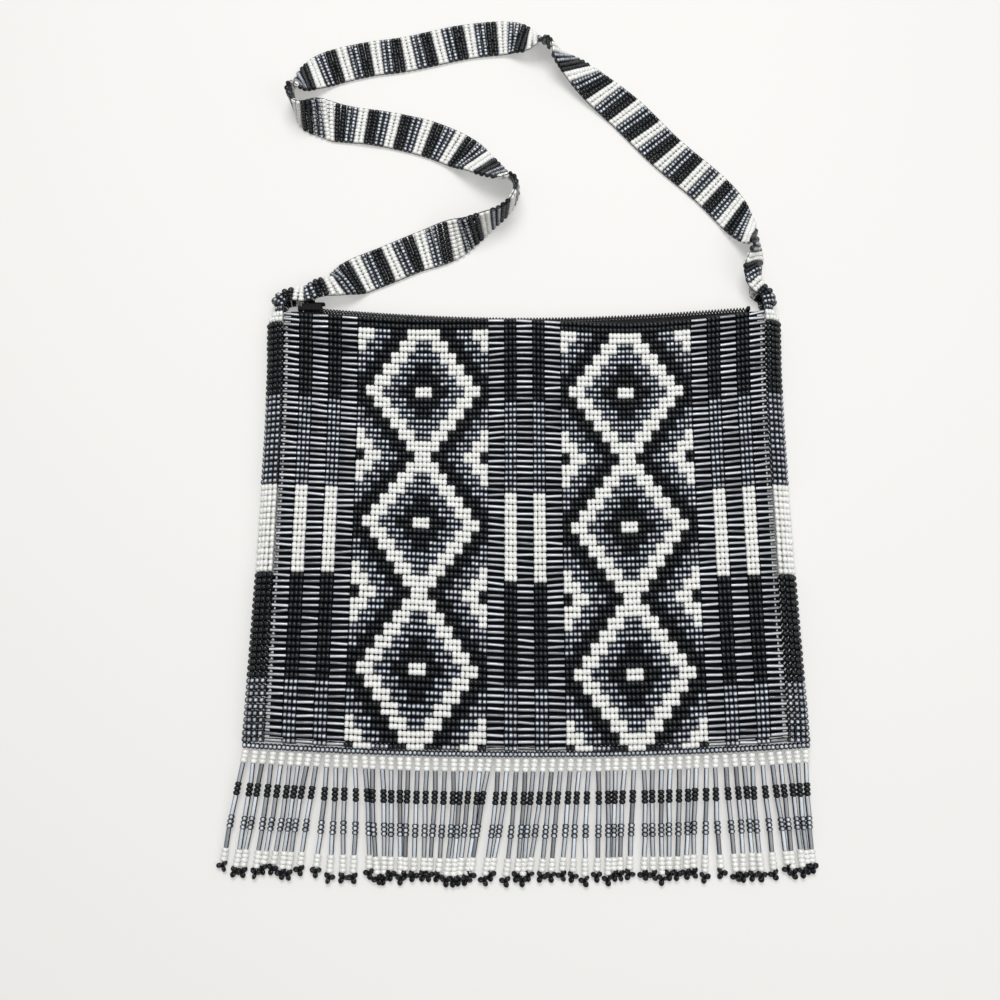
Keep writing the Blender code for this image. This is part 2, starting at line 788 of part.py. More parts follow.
def build():
    for old in list(bpy.data.objects):
        bpy.data.objects.remove(old)
    bead = material("glass_beads", (0.05, 0.055, 0.065), 0.2)
    band = material("band_beads", (0.3, 0.32, 0.35), 0.25)
    hem = material("hem_beads", (0.2, 0.22, 0.25), 0.25)
    fringe = material("fringe_beads", (0.3, 0.33, 0.38), 0.25)
    cloth = material("lining_cloth", (0.01, 0.012, 0.02), 0.9)
    tape = material("zip_tape", (0.012, 0.012, 0.014), 0.8)
    coil = material("zip_nylon", (0.015, 0.015, 0.016), 0.4)
    metal = material("zip_metal", (0.03, 0.03, 0.032), 0.35, 0.9)

    bead_panel("front_panel", 1, bead)
    bead_panel("back_panel", -1, bead)
    gusset("left_gusset", -1, band)
    gusset("right_gusset", 1, band)
    lining("front_lining", 1, cloth)
    lining("back_lining", -1, cloth)
    zip_tape("front_zip_tape", 1, tape)
    zip_tape("back_zip_tape", -1, tape)
    zip_coil("front_zip_coil", 1, coil)
    zip_coil("back_zip_coil", -1, coil)
    zip_stop("left_zip_stop", -1, metal)
    zip_stop("right_zip_stop", 1, metal)
    zip_slider(metal)
    zip_pull(metal)
    hem_row(hem)
    strap_bands(band)
    for index in range(FRINGE_BUNCHES):
        fringe_bunch(index, fringe)


build()
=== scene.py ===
# %% [markdown]
# # A shoulder bag of loom-woven glass beads
# The real bag is cloth made of beads. A thread runs through each row of beads, and a thread runs
# down between each two columns. So the scene is made the same way: a chart says which bead lies
# where, each bead gets a point, and Geometry Nodes put a small glass bead on every point. A flat
# plate with a painted pattern would be quicker, but its edges, gaps and highlights would be wrong
# from every side.

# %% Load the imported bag
import math

import bpy
import numpy as np
from mathutils import Matrix, Vector


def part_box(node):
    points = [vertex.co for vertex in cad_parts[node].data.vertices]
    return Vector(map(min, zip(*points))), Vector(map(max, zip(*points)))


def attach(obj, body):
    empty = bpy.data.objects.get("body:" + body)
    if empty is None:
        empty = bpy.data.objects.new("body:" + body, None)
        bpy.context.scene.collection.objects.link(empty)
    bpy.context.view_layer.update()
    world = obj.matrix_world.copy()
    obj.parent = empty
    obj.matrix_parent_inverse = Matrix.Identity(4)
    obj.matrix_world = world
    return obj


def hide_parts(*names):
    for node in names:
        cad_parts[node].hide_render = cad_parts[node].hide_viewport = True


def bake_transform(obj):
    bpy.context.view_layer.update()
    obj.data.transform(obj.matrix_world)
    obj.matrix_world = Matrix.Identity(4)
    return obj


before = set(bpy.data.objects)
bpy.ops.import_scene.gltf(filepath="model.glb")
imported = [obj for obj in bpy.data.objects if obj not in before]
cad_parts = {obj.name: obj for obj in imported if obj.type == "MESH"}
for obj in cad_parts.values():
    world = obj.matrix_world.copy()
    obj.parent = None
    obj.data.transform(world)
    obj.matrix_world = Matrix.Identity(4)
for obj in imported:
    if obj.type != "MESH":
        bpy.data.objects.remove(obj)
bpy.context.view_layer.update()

# %% [markdown]
# The sizes below are the real ones. The beads set the scale: a column is one bead long and a row
# is one bead thick, so everything else is counted in beads.

# %% Sizes of the woven cloth
mm = 0.001
COLUMNS = 118
ROWS = 73
COLUMN_PITCH = 2.05 * mm
ROW_PITCH = 2.95 * mm
BEAD = 2.9 * mm
GAP = 0.3 * mm
HALF_HEIGHT = ROWS * ROW_PITCH / 2
TOP_HALF_WIDTH = COLUMNS * COLUMN_PITCH / 2
HALF_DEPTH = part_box("front_panel")[1].z / 2
RISE = 4.4 * mm
FLARE = 2.1 * mm
CORNER_FLARE = 1.8 * mm
CORNER_Y = HALF_HEIGHT + RISE

# %% [markdown]
# ## Camera, floor and light
# The photograph looks down at the bag, tipped a little towards its lower edge. The camera stands
# on the matching line, and its lens gives the same frame. The floor is a pale sheet. To the
# camera and in reflections it is a little brighter than its colour, which gives the clean
# background without throwing more light on the bag.



# %% Camera
def new_object(name, data):
    made = bpy.data.objects.new(name, data)
    bpy.context.scene.collection.objects.link(made)
    return made


TARGET = Vector((-12.3, 15.0, 0)) * mm
ELEVATION = math.radians(77.7)
DISTANCE = 550 * mm

camera_data = bpy.data.cameras.new("camera")
camera_data.sensor_width = 36
camera_data.lens = 39.6
camera_data.clip_start = 0.01
camera = new_object("camera", camera_data)
camera.location = TARGET + DISTANCE * Vector((0, -math.cos(ELEVATION), math.sin(ELEVATION)))
camera.rotation_euler = (math.pi / 2 - ELEVATION, 0, 0)
bpy.context.scene.camera = camera
bpy.context.scene.view_settings.view_transform = "Standard"


# %% [markdown]
# Every node tree here is built in the script. One helper adds a node, sets its options and feeds
# its inputs, either with plain values or with another node's output.

# %% Helper for node trees
def socket_of(sockets, name):
    """The first socket in use with this name, or the one at this place."""
    if isinstance(name, int):
        return sockets[name]
    return next(s for s in sockets if s.name == name and s.enabled)


def feed(tree, made, inputs):
    """Gives a node's inputs plain values or other nodes' outputs."""
    for name, value in inputs.items():
        socket = socket_of(made.inputs, name)
        if isinstance(value, bpy.types.NodeSocket):
            tree.links.new(value, socket)
        else:
            socket.default_value = value


def node(tree, kind, inputs=None, output=None, **options):
    """Adds a node and gives back one of its outputs."""
    made = tree.nodes.new(kind)
    for key, value in options.items():
        setattr(made, key, value)
    feed(tree, made, inputs or {})
    if not made.outputs:
        return made
    if output is not None:
        return socket_of(made.outputs, output)
    return next(s for s in made.outputs if s.enabled)


def maths(tree, operation, *values):
    return node(tree, "ShaderNodeMath", dict(enumerate(values)), operation=operation)


def scaled(tree, vector, amount):
    return node(tree, "ShaderNodeVectorMath", {0: vector, "Scale": amount}, operation="SCALE")


def new_material(name, roughness=0.5, coat=0.0, specular=0.5):
    material = bpy.data.materials.new(name)
    material.use_nodes = True
    tree = material.node_tree
    shader = tree.nodes["Principled BSDF"]
    values = {"Roughness": roughness, "Specular IOR Level": specular}
    feed(tree, shader, {**values, "Coat Weight": coat, "Coat Roughness": 0.08})
    return material, tree, shader


# %% Floor and light
FLOOR_COLOUR = (0.55, 0.545, 0.535, 1)
BACKGROUND = (0.905, 0.9, 0.88, 1)
FLOOR_GLOW = 0.39
SURROUND = 0.3
SEEN_SURROUND = 0.95


def floor_material():
    material, tree, shader = new_material("pale_floor", roughness=0.9, specular=0.1)
    camera_ray = node(tree, "ShaderNodeLightPath", output="Is Camera Ray")
    glossy_ray = node(tree, "ShaderNodeLightPath", output="Is Glossy Ray")
    seen = maths(tree, "MAXIMUM", camera_ray, glossy_ray)
    glow = maths(tree, "MULTIPLY", seen, FLOOR_GLOW)
    colours = {"Base Color": FLOOR_COLOUR, "Emission Color": BACKGROUND}
    feed(tree, shader, {**colours, "Emission Strength": glow})
    return material


def floor_sheet(size):
    mesh = bpy.data.meshes.new("floor")
    corners = [(-size, -size, 0), (size, -size, 0), (size, size, 0), (-size, size, 0)]
    mesh.from_pydata(corners, [], [(0, 1, 2, 3)])
    mesh.materials.append(floor_material())
    new_object("floor", mesh)


def softbox(name, place, size, power):
    """A square lamp that looks at the bag's middle."""
    data = bpy.data.lights.new(name, "AREA")
    data.size = size
    data.energy = power
    lamp = new_object(name, data)
    lamp.location = place
    lamp.rotation_euler = (-Vector(place)).to_track_quat("-Z", "Y").to_euler()


world = bpy.data.worlds.new("world")
bpy.context.scene.world = world
world.use_nodes = True
tree = world.node_tree
seen = node(tree, "ShaderNodeLightPath", output="Is Camera Ray")
strength = maths(tree, "MULTIPLY_ADD", seen, SEEN_SURROUND - SURROUND, SURROUND)
feed(tree, tree.nodes["Background"], {"Color": BACKGROUND, "Strength": strength})

floor_sheet(4.0)
softbox("key_softbox", (-0.05, 0.45, 1.05), 0.55, 9.0)
softbox("fill_softbox", (0.6, -0.4, 1.0), 0.8, 3.5)
print("camera at", [round(c, 3) for c in camera.location])

# %% [markdown]
# ## Glass
# Four kinds of bead make the bag: white, black, grey and the long silver-grey bugles. The grey
# beads and the bugles are clear glass with a silver lining in the hole. The glass works as a
# lens, so the lining shows as a bright core with dark rims. Real refraction on twenty thousand
# beads is slow and noisy, so the core is a mask instead: each bead carries a number called crown,
# 1 at its outward side and 0 at its flanks, and a number called reach, 1 at its ends. The core
# colour is painted on the outward side, and the lining's reflection is painted into it. White and
# black beads get the same mask as painted light: a painted highlight on the outward side and
# painted shade on the flanks. No two glass beads have quite the same colour, so each also carries
# a number called vary.


# %% Shader group for a bead's core with painted sheen, its rim, and its own tone
def group_input(tree, name, kind, value=None):
    made = tree.interface.new_socket(name=name, in_out="INPUT", socket_type=kind)
    if value is not None:
        made.default_value = value


def group_output(tree, name, kind):
    tree.interface.new_socket(name=name, in_out="OUTPUT", socket_type=kind)


def group_ends(tree):
    return tree.nodes.new("NodeGroupInput"), tree.nodes.new("NodeGroupOutput")


def attribute(tree, name):
    return node(tree, "ShaderNodeAttribute", output="Fac", attribute_name=name)


def ramp(tree, value, low, high):
    """0 below low, 1 above high, smooth between."""
    inputs = {"Value": value, "From Min": low, "From Max": high}
    return node(tree, "ShaderNodeMapRange", inputs, interpolation_type="SMOOTHSTEP")


def mix_colours(tree, share, first, second):
    inputs = {"Factor": share, "A": first, "B": second}
    return node(tree, "ShaderNodeMix", inputs, output="Result", data_type="RGBA")


def lining_and_painted_sheen_group():
    tree = bpy.data.node_groups.new("Lining And Painted Sheen", "ShaderNodeTree")
    group_input(tree, "Rim", "NodeSocketColor")
    group_input(tree, "Core", "NodeSocketColor")
    defaults = {"Core Start": 0.8, "Core Full": 0.95, "Core Length": 0.6, "Variation": 0.2}
    for name, value in defaults.items():
        group_input(tree, name, "NodeSocketFloat", value)
    group_output(tree, "Colour", "NodeSocketColor")
    group_output(tree, "Roughness", "NodeSocketFloat")
    start, end = group_ends(tree)
    # Core mask: the silver lining of grey beads and bugles, with its reflection painted in and
    # painted on the outward side; on white and black beads a painted highlight, and the rim is
    # painted shade
    crown = ramp(
        tree, attribute(tree, "crown"), start.outputs["Core Start"], start.outputs["Core Full"]
    )
    reach = maths(tree, "ABSOLUTE", attribute(tree, "reach"))
    past_end = ramp(tree, reach, start.outputs["Core Length"], 1.0)
    core_and_painted_sheen = maths(tree, "MULTIPLY", crown, maths(tree, "SUBTRACT", 1.0, past_end))
    colour = mix_colours(tree, core_and_painted_sheen, start.outputs["Rim"], start.outputs["Core"])
    vary = maths(tree, "MULTIPLY_ADD", attribute(tree, "vary"), 2.0, -1.0)
    shade = maths(tree, "MULTIPLY_ADD", vary, start.outputs["Variation"], 1.0)
    place = node(tree, "ShaderNodeTexCoord", output="Object")
    cloud = node(tree, "ShaderNodeTexNoise", {"Vector": place, "Scale": 900.0, "Detail": 2.0})
    cloud_shade = maths(tree, "MULTIPLY_ADD", cloud, 0.2, 0.9)
    shade = maths(tree, "MULTIPLY", shade, cloud_shade)
    rough = maths(tree, "MULTIPLY_ADD", cloud, 0.12, 0.12)
    feed(tree, end, {"Colour": scaled(tree, colour, shade), "Roughness": rough})
    return tree


LINING_AND_PAINTED_SHEEN = lining_and_painted_sheen_group()


# %% Glass materials
def bead_glass(
    name, rim, core_and_painted_sheen, start=0.8, full=0.95, length=0.6, variation=0.1, coat=0.6, specular=0.5
):
    material, tree, shader = new_material(name, coat=coat, specular=specular)
    glass = tree.nodes.new("ShaderNodeGroup")
    glass.node_tree = LINING_AND_PAINTED_SHEEN
    values = ((*rim, 1), (*core_and_painted_sheen, 1), start, full, length, variation)
    for socket, value in zip(glass.inputs, values):
        socket.default_value = value
    made = glass.outputs
    feed(tree, shader, {"Base Color": made["Colour"], "Roughness": made["Roughness"]})
    return material


# On white and black glass the lighter core is a painted highlight and the darker rim is painted
# shade; on grey beads and bugles the core is the silver lining with its reflection painted in
WHITE_GLASS = bead_glass("white_glass", (0.87, 0.87, 0.85), (0.93, 0.93, 0.91), variation=0.04)
BLACK_GLASS = bead_glass(
    "black_glass", (0.006, 0.008, 0.01), (0.018, 0.02, 0.024), coat=0.0, specular=0.35
)
GREY_GLASS = bead_glass(
    "grey_lined_glass", (0.019, 0.024, 0.033), (0.6, 0.65, 0.72), 0.78, 0.985, 0.2, 0.35, 0.3
)
BUGLE_GLASS = bead_glass(
    "silver_bugle_glass", (0.016, 0.018, 0.023), (0.48, 0.505, 0.55), 0.74, 0.97, 0.97, 0.6, 0.3
)
FRINGE_GLASS = bead_glass(
    "fringe_bugle_glass", (0.012, 0.014, 0.02), (0.48, 0.52, 0.57), 0.6, 0.94, 0.97, 0.6, 0.35
)
print("glass:", [m.name for m in (WHITE_GLASS, BLACK_GLASS, GREY_GLASS, BUGLE_GLASS, FRINGE_GLASS)])

# %% [markdown]
# ## One bead on every point
# A Geometry Nodes tree makes three bead shapes from a few sizes: a round bead, a bugle and an
# open ring bead for the tips of the fringe. It picks a shape by the number form on each point,
# turns it to the thread direction stored there, and tilts it by a small random angle, because
# beads never sit quite square. Twenty thousand beads mean that each may have only a few dozen
# faces, and smooth shading does the rest.

# %% Kinds of bead
ROUND, BUGLE, RING = 0, 1, 2
WHITE, BLACK, GREY, SILVER, FRINGE_SILVER = 0, 1, 2, 3, 4
ROW_FILL = 1.07

# Shoulder, taper, and the power that keeps the taper to the ends
ROUND_TURNING = (0.63, 0.34, 5.0)
BUGLE_TURNING = (0.06, 0.2, 9.0)
BUGLE_LENGTH = 4 * COLUMN_PITCH - 0.2 * mm
BUGLE_THICKNESS = 2.3 * mm
FRINGE_BUGLE_LENGTH = 9.0 * mm


def tree_inputs(tree, sizes):
    group_input(tree, "Geometry", "NodeSocketGeometry")
    for name, value in sizes.items():
        kind = "NodeSocketInt" if isinstance(value, int) else "NodeSocketFloat"
        group_input(tree, name, kind, value)
    group_output(tree, "Geometry", "NodeSocketGeometry")
    start, end = group_ends(tree)
    return start.outputs, end


def named(tree, name, kind="FLOAT"):
    return node(tree, "GeometryNodeInputNamedAttribute", {"Name": name}, data_type=kind)


def stored(tree, geometry, name, value):
    inputs = {"Geometry": geometry, "Name": name, "Value": value}
    return node(tree, "GeometryNodeStoreNamedAttribute", inputs, domain="POINT")


def equals(tree, value, target):
    inputs = {"A": value, "B": float(target), "Epsilon": 0.1}
    return node(tree, "FunctionNodeCompare", inputs, operation="EQUAL")


def barrel(tree, length, thickness, sides, shoulder, taper, power, fill):
    """A bead turned about X: shoulder moves the inner rings, taper draws the ends in, and fill
    widens it a little across, where the next row presses on it."""
    half = maths(tree, "MULTIPLY", length, 0.5)
    radius = maths(tree, "MULTIPLY", thickness, 0.5)
    inputs = {"Vertices": sides, "Side Segments": 3, "Radius": 1.0, "Depth": 2.0}
    tube = node(tree, "GeometryNodeMeshCylinder", inputs)
    place = node(tree, "ShaderNodeSeparateXYZ", {0: node(tree, "GeometryNodeInputPosition")})
    axis = place.node.outputs
    away = maths(tree, "POWER", maths(tree, "ABSOLUTE", axis["Z"]), shoulder)
    along = maths(tree, "MULTIPLY", away, maths(tree, "SIGN", axis["Z"]))
    drawn = maths(tree, "MULTIPLY", maths(tree, "POWER", away, power), taper)
    girth = maths(tree, "MULTIPLY", maths(tree, "SUBTRACT", 1.0, drawn), radius)
    shaped = node(
        tree,
        "ShaderNodeCombineXYZ",
        {
            "X": maths(tree, "MULTIPLY", along, half),
            "Y": maths(tree, "MULTIPLY", maths(tree, "MULTIPLY", axis["Y"], girth), fill),
            "Z": maths(tree, "MULTIPLY", axis["X"], girth),
        },
    )
    marked = stored(tree, tube, "crown", axis["X"])
    marked = stored(tree, marked, "reach", along)
    turned = node(tree, "GeometryNodeSetPosition", {"Geometry": marked, "Position": shaped})
    return node(tree, "GeometryNodeFlipFaces", {"Mesh": turned})


def open_ring(tree, thickness):
    """A round bead seen with its hole, for the loose tips."""
    wall = maths(tree, "MULTIPLY", thickness, 0.3)
    middle = maths(tree, "MULTIPLY", thickness, 0.34)
    path = node(tree, "GeometryNodeCurvePrimitiveCircle", {"Resolution": 12, "Radius": middle})
    section = node(tree, "GeometryNodeCurvePrimitiveCircle", {"Resolution": 6, "Radius": wall})
    ring = node(tree, "GeometryNodeCurveToMesh", {"Curve": path, "Profile Curve": section})
    quarter = (0.0, math.pi / 2, 0.0)
    turned = node(tree, "GeometryNodeTransform", {"Geometry": ring, "Rotation": quarter})
    return stored(tree, turned, "crown", 0.2)


def bead_tree():
    tree = bpy.data.node_groups.new("Beads On Points", "GeometryNodeTree")
    sizes = {
        "Bead Length": COLUMN_PITCH,
        "Bead Thickness": BEAD,
        "Bugle Length": BUGLE_LENGTH,
        "Bugle Thickness": BUGLE_THICKNESS,
        "Sides": 10,
        "Row Fill": ROW_FILL,
        "Tilt": 0.05,
        "Seed": 1,
    }
    given, end = tree_inputs(tree, sizes)
    facing = node(
        tree,
        "FunctionNodeAxesToRotation",
        {
            "Primary Axis": named(tree, "along", "FLOAT_VECTOR"),
            "Secondary Axis": named(tree, "out", "FLOAT_VECTOR"),
        },
        primary_axis="X",
        secondary_axis="Z",
    )
    most = node(tree, "ShaderNodeCombineXYZ", dict.fromkeys("XYZ", given["Tilt"]))
    least = scaled(tree, most, -1.0)
    bounds = {"Min": least, "Max": most, "Seed": given["Seed"]}
    tilt = node(tree, "FunctionNodeRandomValue", bounds, data_type="FLOAT_VECTOR")
    tilt = node(tree, "FunctionNodeEulerToRotation", {"Euler": tilt})
    turns = {"Rotation": facing, "Rotate By": tilt}
    facing = node(tree, "FunctionNodeRotateRotation", turns, rotation_space="LOCAL")
    bounds = {"Min": 0.0, "Max": 1.0, "Seed": given["Seed"]}
    vary = node(tree, "FunctionNodeRandomValue", bounds, data_type="FLOAT")
    points = stored(tree, given["Geometry"], "vary", vary)
    form = named(tree, "form")
    bead_size = (given["Bead Length"], given["Bead Thickness"])
    bugle_size = (given["Bugle Length"], given["Bugle Thickness"])
    sides = given["Sides"]
    shapes = (
        (ROUND, barrel(tree, *bead_size, sides, *ROUND_TURNING, given["Row Fill"])),
        (BUGLE, barrel(tree, *bugle_size, sides, *BUGLE_TURNING, 1.0)),
        (RING, open_ring(tree, given["Bead Thickness"])),
    )
    joined = tree.nodes.new("GeometryNodeJoinGeometry")
    for kind, shape in shapes:
        placed = node(
            tree,
            "GeometryNodeInstanceOnPoints",
            {
                "Points": points,
                "Selection": equals(tree, form, kind),
                "Instance": shape,
                "Rotation": facing,
                "Scale": named(tree, "size", "FLOAT_VECTOR"),
            },
        )
        tree.links.new(placed, joined.inputs[0])
    made = node(tree, "GeometryNodeRealizeInstances", {"Geometry": joined.outputs[0]})
    made = node(tree, "GeometryNodeSetShadeSmooth", {0: made})
    tone = named(tree, "tone")
    glasses = {
        WHITE: WHITE_GLASS,
        BLACK: BLACK_GLASS,
        GREY: GREY_GLASS,
        SILVER: BUGLE_GLASS,
        FRINGE_SILVER: FRINGE_GLASS,
    }
    for kind, material in glasses.items():
        inputs = {"Geometry": made, "Selection": equals(tree, tone, kind), "Material": material}
        made = node(tree, "GeometryNodeSetMaterial", inputs)
    feed(tree, end, {"Geometry": made})
    return tree


BEADS_ON_POINTS = bead_tree()
print("bead tree:", len(BEADS_ON_POINTS.nodes), "nodes")

# %% [markdown]
# A bead is a small record: its place, the direction of its thread, the side that faces out, its
# scale, its form and its tone. `weave` turns a grid of places into beads. It reads both
# directions from the grid's own neighbours, so the same function serves a flat panel, a curled
# gusset and a twisted strap.


# %% Run a tree and keep a plain mesh
def grow(source, tree, values):
    """Runs a Geometry Nodes tree on an object and keeps the result as a plain mesh."""
    modifier = source.modifiers.new("grow", "NODES")
    modifier.node_group = tree
    for item in tree.interface.items_tree:
        if item.in_out == "INPUT" and item.name in values:
            modifier[item.identifier] = values[item.name]
    depsgraph = bpy.context.evaluated_depsgraph_get()
    mesh = bpy.data.meshes.new_from_object(
        source.evaluated_get(depsgraph), preserve_all_data_layers=True, depsgraph=depsgraph
    )
    source.modifiers.remove(modifier)
    source.data = mesh
    mesh.name = source.name
    return source


def keep(piece, body, slot, *nodes):
    """Parents a finished piece to its body's empty and hides the solids it stands for; with two
    places in the body's stead it only bakes the piece's transform.
    """
    if isinstance(body, tuple):
        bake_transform(piece)
    else:
        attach(piece, body)
    if nodes:
        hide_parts(*nodes)
    return piece


# %% Beads from a grid of places
class Bead:
    """One bead: where it is, how it is turned, and which glass it is."""

    def __init__(self, place, along, out, tone, form=ROUND, size=(1, 1, 1)):
        self.place = place
        self.along = along
        self.out = out
        self.tone = tone
        self.form = form
        self.size = size


def string_beads(name, beads, seed, tilt=0.05, bugle=BUGLE_LENGTH):
    """Makes one mesh from a list of beads."""
    mesh = bpy.data.meshes.new(name)
    mesh.from_pydata([bead.place for bead in beads], [], [])
    for key in ("along", "out", "size"):
        layer = mesh.attributes.new(key, "FLOAT_VECTOR", "POINT")
        values = np.array([getattr(bead, key) for bead in beads], np.float32)
        layer.data.foreach_set("vector", values.ravel())
    for key in ("form", "tone"):
        layer = mesh.attributes.new(key, "FLOAT", "POINT")
        layer.data.foreach_set("value", [float(getattr(bead, key)) for bead in beads])
    values = {"Seed": seed, "Tilt": tilt, "Bugle Length": bugle}
    made = grow(new_object(name, mesh), BEADS_ON_POINTS, values)
    print(name, len(beads), "beads", len(made.data.polygons), "faces")
    return made


def weave(grid, tone_of, seed, spread=0.1 * mm):
    """Beads for a grid of rows; tone_of gives a tone, or None where no round bead lies."""
    grid = np.array([[tuple(place) for place in row] for row in grid])
    along = np.gradient(grid, axis=1)
    down = np.gradient(grid, axis=0)
    lengths = np.linalg.norm(along, axis=2)
    heights = np.linalg.norm(down, axis=2)
    out = np.cross(down, along)
    loose = np.random.RandomState(seed)
    beads = []
    for r in range(grid.shape[0]):
        for c in range(grid.shape[1]):
            tone = tone_of(r, c)
            if tone is None:
                continue
            place = grid[r, c] + loose.uniform(-spread, spread, 3)
            thick = min(1.0, heights[r, c] / ROW_PITCH) * loose.uniform(0.95, 1.02)
            long = min(1.04, lengths[r, c] / COLUMN_PITCH) * loose.uniform(0.95, 1.02)
            beads.append(Bead(place, along[r, c], out[r, c], tone, size=(long, thick, thick)))
    return beads


# %% [markdown]
# ## The panels
# Both panels follow the same chart. Three columns of bugles with black, grey and white round beads
# between them stand at the left, in the middle and at the right. Between them lie two fields of
# nested diamonds in steps of two beads, which is how diamonds come out on a bead loom. The rows
# rise a little towards the sides, and the panel is drawn in at the mouth and at the hem.

# %% Where a panel's beads lie
MOUTH_DRAW = 0.95 * mm
MOUTH_DRAW_LENGTH = 9.0 * mm
HEM_DRAW = HALF_DEPTH - BEAD - GAP
HEM_DRAW_LENGTH = 18.0 * mm
FAN = 2.0 * mm
FAN_END = 30.0 * mm
WAVE = 0.25 * mm
CORNER_SHARE = 0.3
COLUMN_PULL = 0.9 * mm

# The rows slide in slow waves, counted in rows; the bottom ones are held by the hem
LEFT_SLIP = 2.7 * mm
LEFT_LEVEL_ROW = 25
LEFT_HALF_WAVE = 47
LEFT_HEAD_START = 4
LEFT_SET_IN = 14
RIGHT_SLIP_MEAN = 1.4 * mm
RIGHT_SLIP = 1.9 * mm
RIGHT_WAVE = 98
HEM_HELD_ROWS = 8


def smooth_share(distance, length):
    return max(0.0, 1 - max(0.0, distance) / length) ** 2


def draw_in(y):
    mouth = MOUTH_DRAW * smooth_share(HALF_HEIGHT - y, MOUTH_DRAW_LENGTH)
    hem = HEM_DRAW * smooth_share(HALF_HEIGHT + y, HEM_DRAW_LENGTH)
    return mouth + hem


def down_share(y):
    return max(0.0, (HALF_HEIGHT - y) / (2 * HALF_HEIGHT))


def half_width(y):
    corner = CORNER_FLARE * max(0.0, 1 - down_share(y) / CORNER_SHARE) ** 2
    return TOP_HALF_WIDTH + FLARE * down_share(y) ** 2 + corner


def row_y(row):
    return HALF_HEIGHT - (row + 0.5) * ROW_PITCH


def slip(across, row):
    """How far a row has slid down towards the sides; each side has its own slow wave."""
    if across < 0:
        wave = LEFT_SLIP * math.sin(math.pi * (LEFT_LEVEL_ROW - row) / LEFT_HALF_WAVE)
        wave *= min(1.0, (row + LEFT_HEAD_START) / LEFT_SET_IN)
    else:
        wave = RIGHT_SLIP_MEAN + RIGHT_SLIP * math.cos(2 * math.pi * row / RIGHT_WAVE)
    shape = math.sin(math.pi * abs(across)) + 0.4 * across**2
    return wave * shape * min(1.0, (ROWS - row) / HEM_HELD_ROWS)


def rise(across, y):
    """How far a row lies above its middle; the right-hand side fans out, but not at the hem."""
    fan = FAN * max(0.0, across) ** 2 * y / HALF_HEIGHT
    above_hem = min(1.0, (HALF_HEIGHT + y) / FAN_END)
    return RISE * across**2 + fan * above_hem


def panel_place(row, column, side):
    y = row_y(row)
    across = (column + 0.5) / COLUMNS * 2 - 1
    wave = WAVE * math.sin(9 * across + 0.23 * row) * math.sin(0.31 * row + 4 * across)
    pull = COLUMN_PULL * math.sin(math.pi * across) * math.cos(math.pi / 2 * row / ROWS)
    out = HALF_DEPTH - draw_in(y) - BEAD / 2
    x = across * half_width(y) - pull
    y += rise(across, y) + wave - slip(across, row)
    return Vector((x, y, HALF_DEPTH + side * out))


# %% The chart
BORDER = "bbbb...bbbb...bbbb"
FIELD_COLUMNS = 32
CHART = (BORDER + "#" * FIELD_COLUMNS) * 2 + BORDER
BAND_ENDS = ((15, BLACK), (31, GREY), (46, WHITE), (63, BLACK), (ROWS, GREY))
RING_TONES = (WHITE, BLACK, GREY, WHITE, BLACK, GREY, WHITE, BLACK)


def band_tone(row):
    return next(tone for end, tone in BAND_ENDS if row < end)


def diamond_tone(row, field_column):
    """Nested diamonds, counted in steps of two rows and two columns from their middles."""
    if row < 2:
        return BLACK
    step = (row - 2) // 2
    down = abs((step + 1) % 12 - 6)
    across = int(abs(field_column - (FIELD_COLUMNS - 1) / 2)) // 2 + 1
    return RING_TONES[(across + down) // 2]


def chart_tone(row, column):
    kind = CHART[column]
    if kind == "b":
        return None
    if kind == ".":
        return band_tone(row)
    return diamond_tone(row, (column - len(BORDER)) % (len(BORDER) + FIELD_COLUMNS))


BUGLE_STARTS = [c for c in range(COLUMNS) if CHART[c] == "b" and CHART[:c].count("b") % 4 == 0]
print("chart:", len(CHART), "columns, bugles at", BUGLE_STARTS)


# %% Both panels, one piece for each glass
def panel_bugles(grid, seed):
    loose = np.random.RandomState(seed)
    bugles = []
    for row in grid:
        for start in BUGLE_STARTS:
            first, last = row[start], row[start + 3]
            place = (first + last) / 2 + Vector(loose.uniform(-0.12 * mm, 0.12 * mm, 3))
            along = (last - first).normalized()
            along.y += loose.normal(0, 0.035)
            thick = loose.uniform(0.9, 1.05)
            size = (loose.uniform(0.97, 1.02), thick, thick)
            out = Vector((0, 0, 1 if place.z > HALF_DEPTH else -1))
            bugles.append(Bead(place, along, out, SILVER, BUGLE, size))
    return bugles


def bead_panel(label, side, seed):
    grid = [[panel_place(r, c, side) for c in range(COLUMNS)] for r in range(ROWS)]
    beads = weave(grid, chart_tone, seed=seed)
    for bead in beads:
        bead.out = Vector((0, 0, side))
    for tone, word in ((WHITE, "white"), (BLACK, "black"), (GREY, "grey")):
        chosen = [bead for bead in beads if bead.tone == tone]
        piece = string_beads(f"{label}_{word}_beads", chosen, seed=seed)
        keep(piece, "bag", "bead_fabric", f"{label}_panel")
    piece = string_beads(f"{label}_bugles", panel_bugles(grid, seed), seed=seed, tilt=0.02)
    keep(piece, "bag", "bead_fabric", f"{label}_panel")


bead_panel("front", 1, 11)
bead_panel("back", -1, 23)

# %% [markdown]
# ## The beaded band
# One band, ten beads wide, starts at the bottom of the left side, curls round the side edge as
# the gusset, goes on as the strap, and comes down again as the right gusset. It is one grid of
# rows here too. The strap's route is a short list of stations, chosen from the way it lies.
# Each says where the band is, how far it is rolled about its path, and how far its outer half
# folds under. A curve that passes through all the stations gives the rows between them.

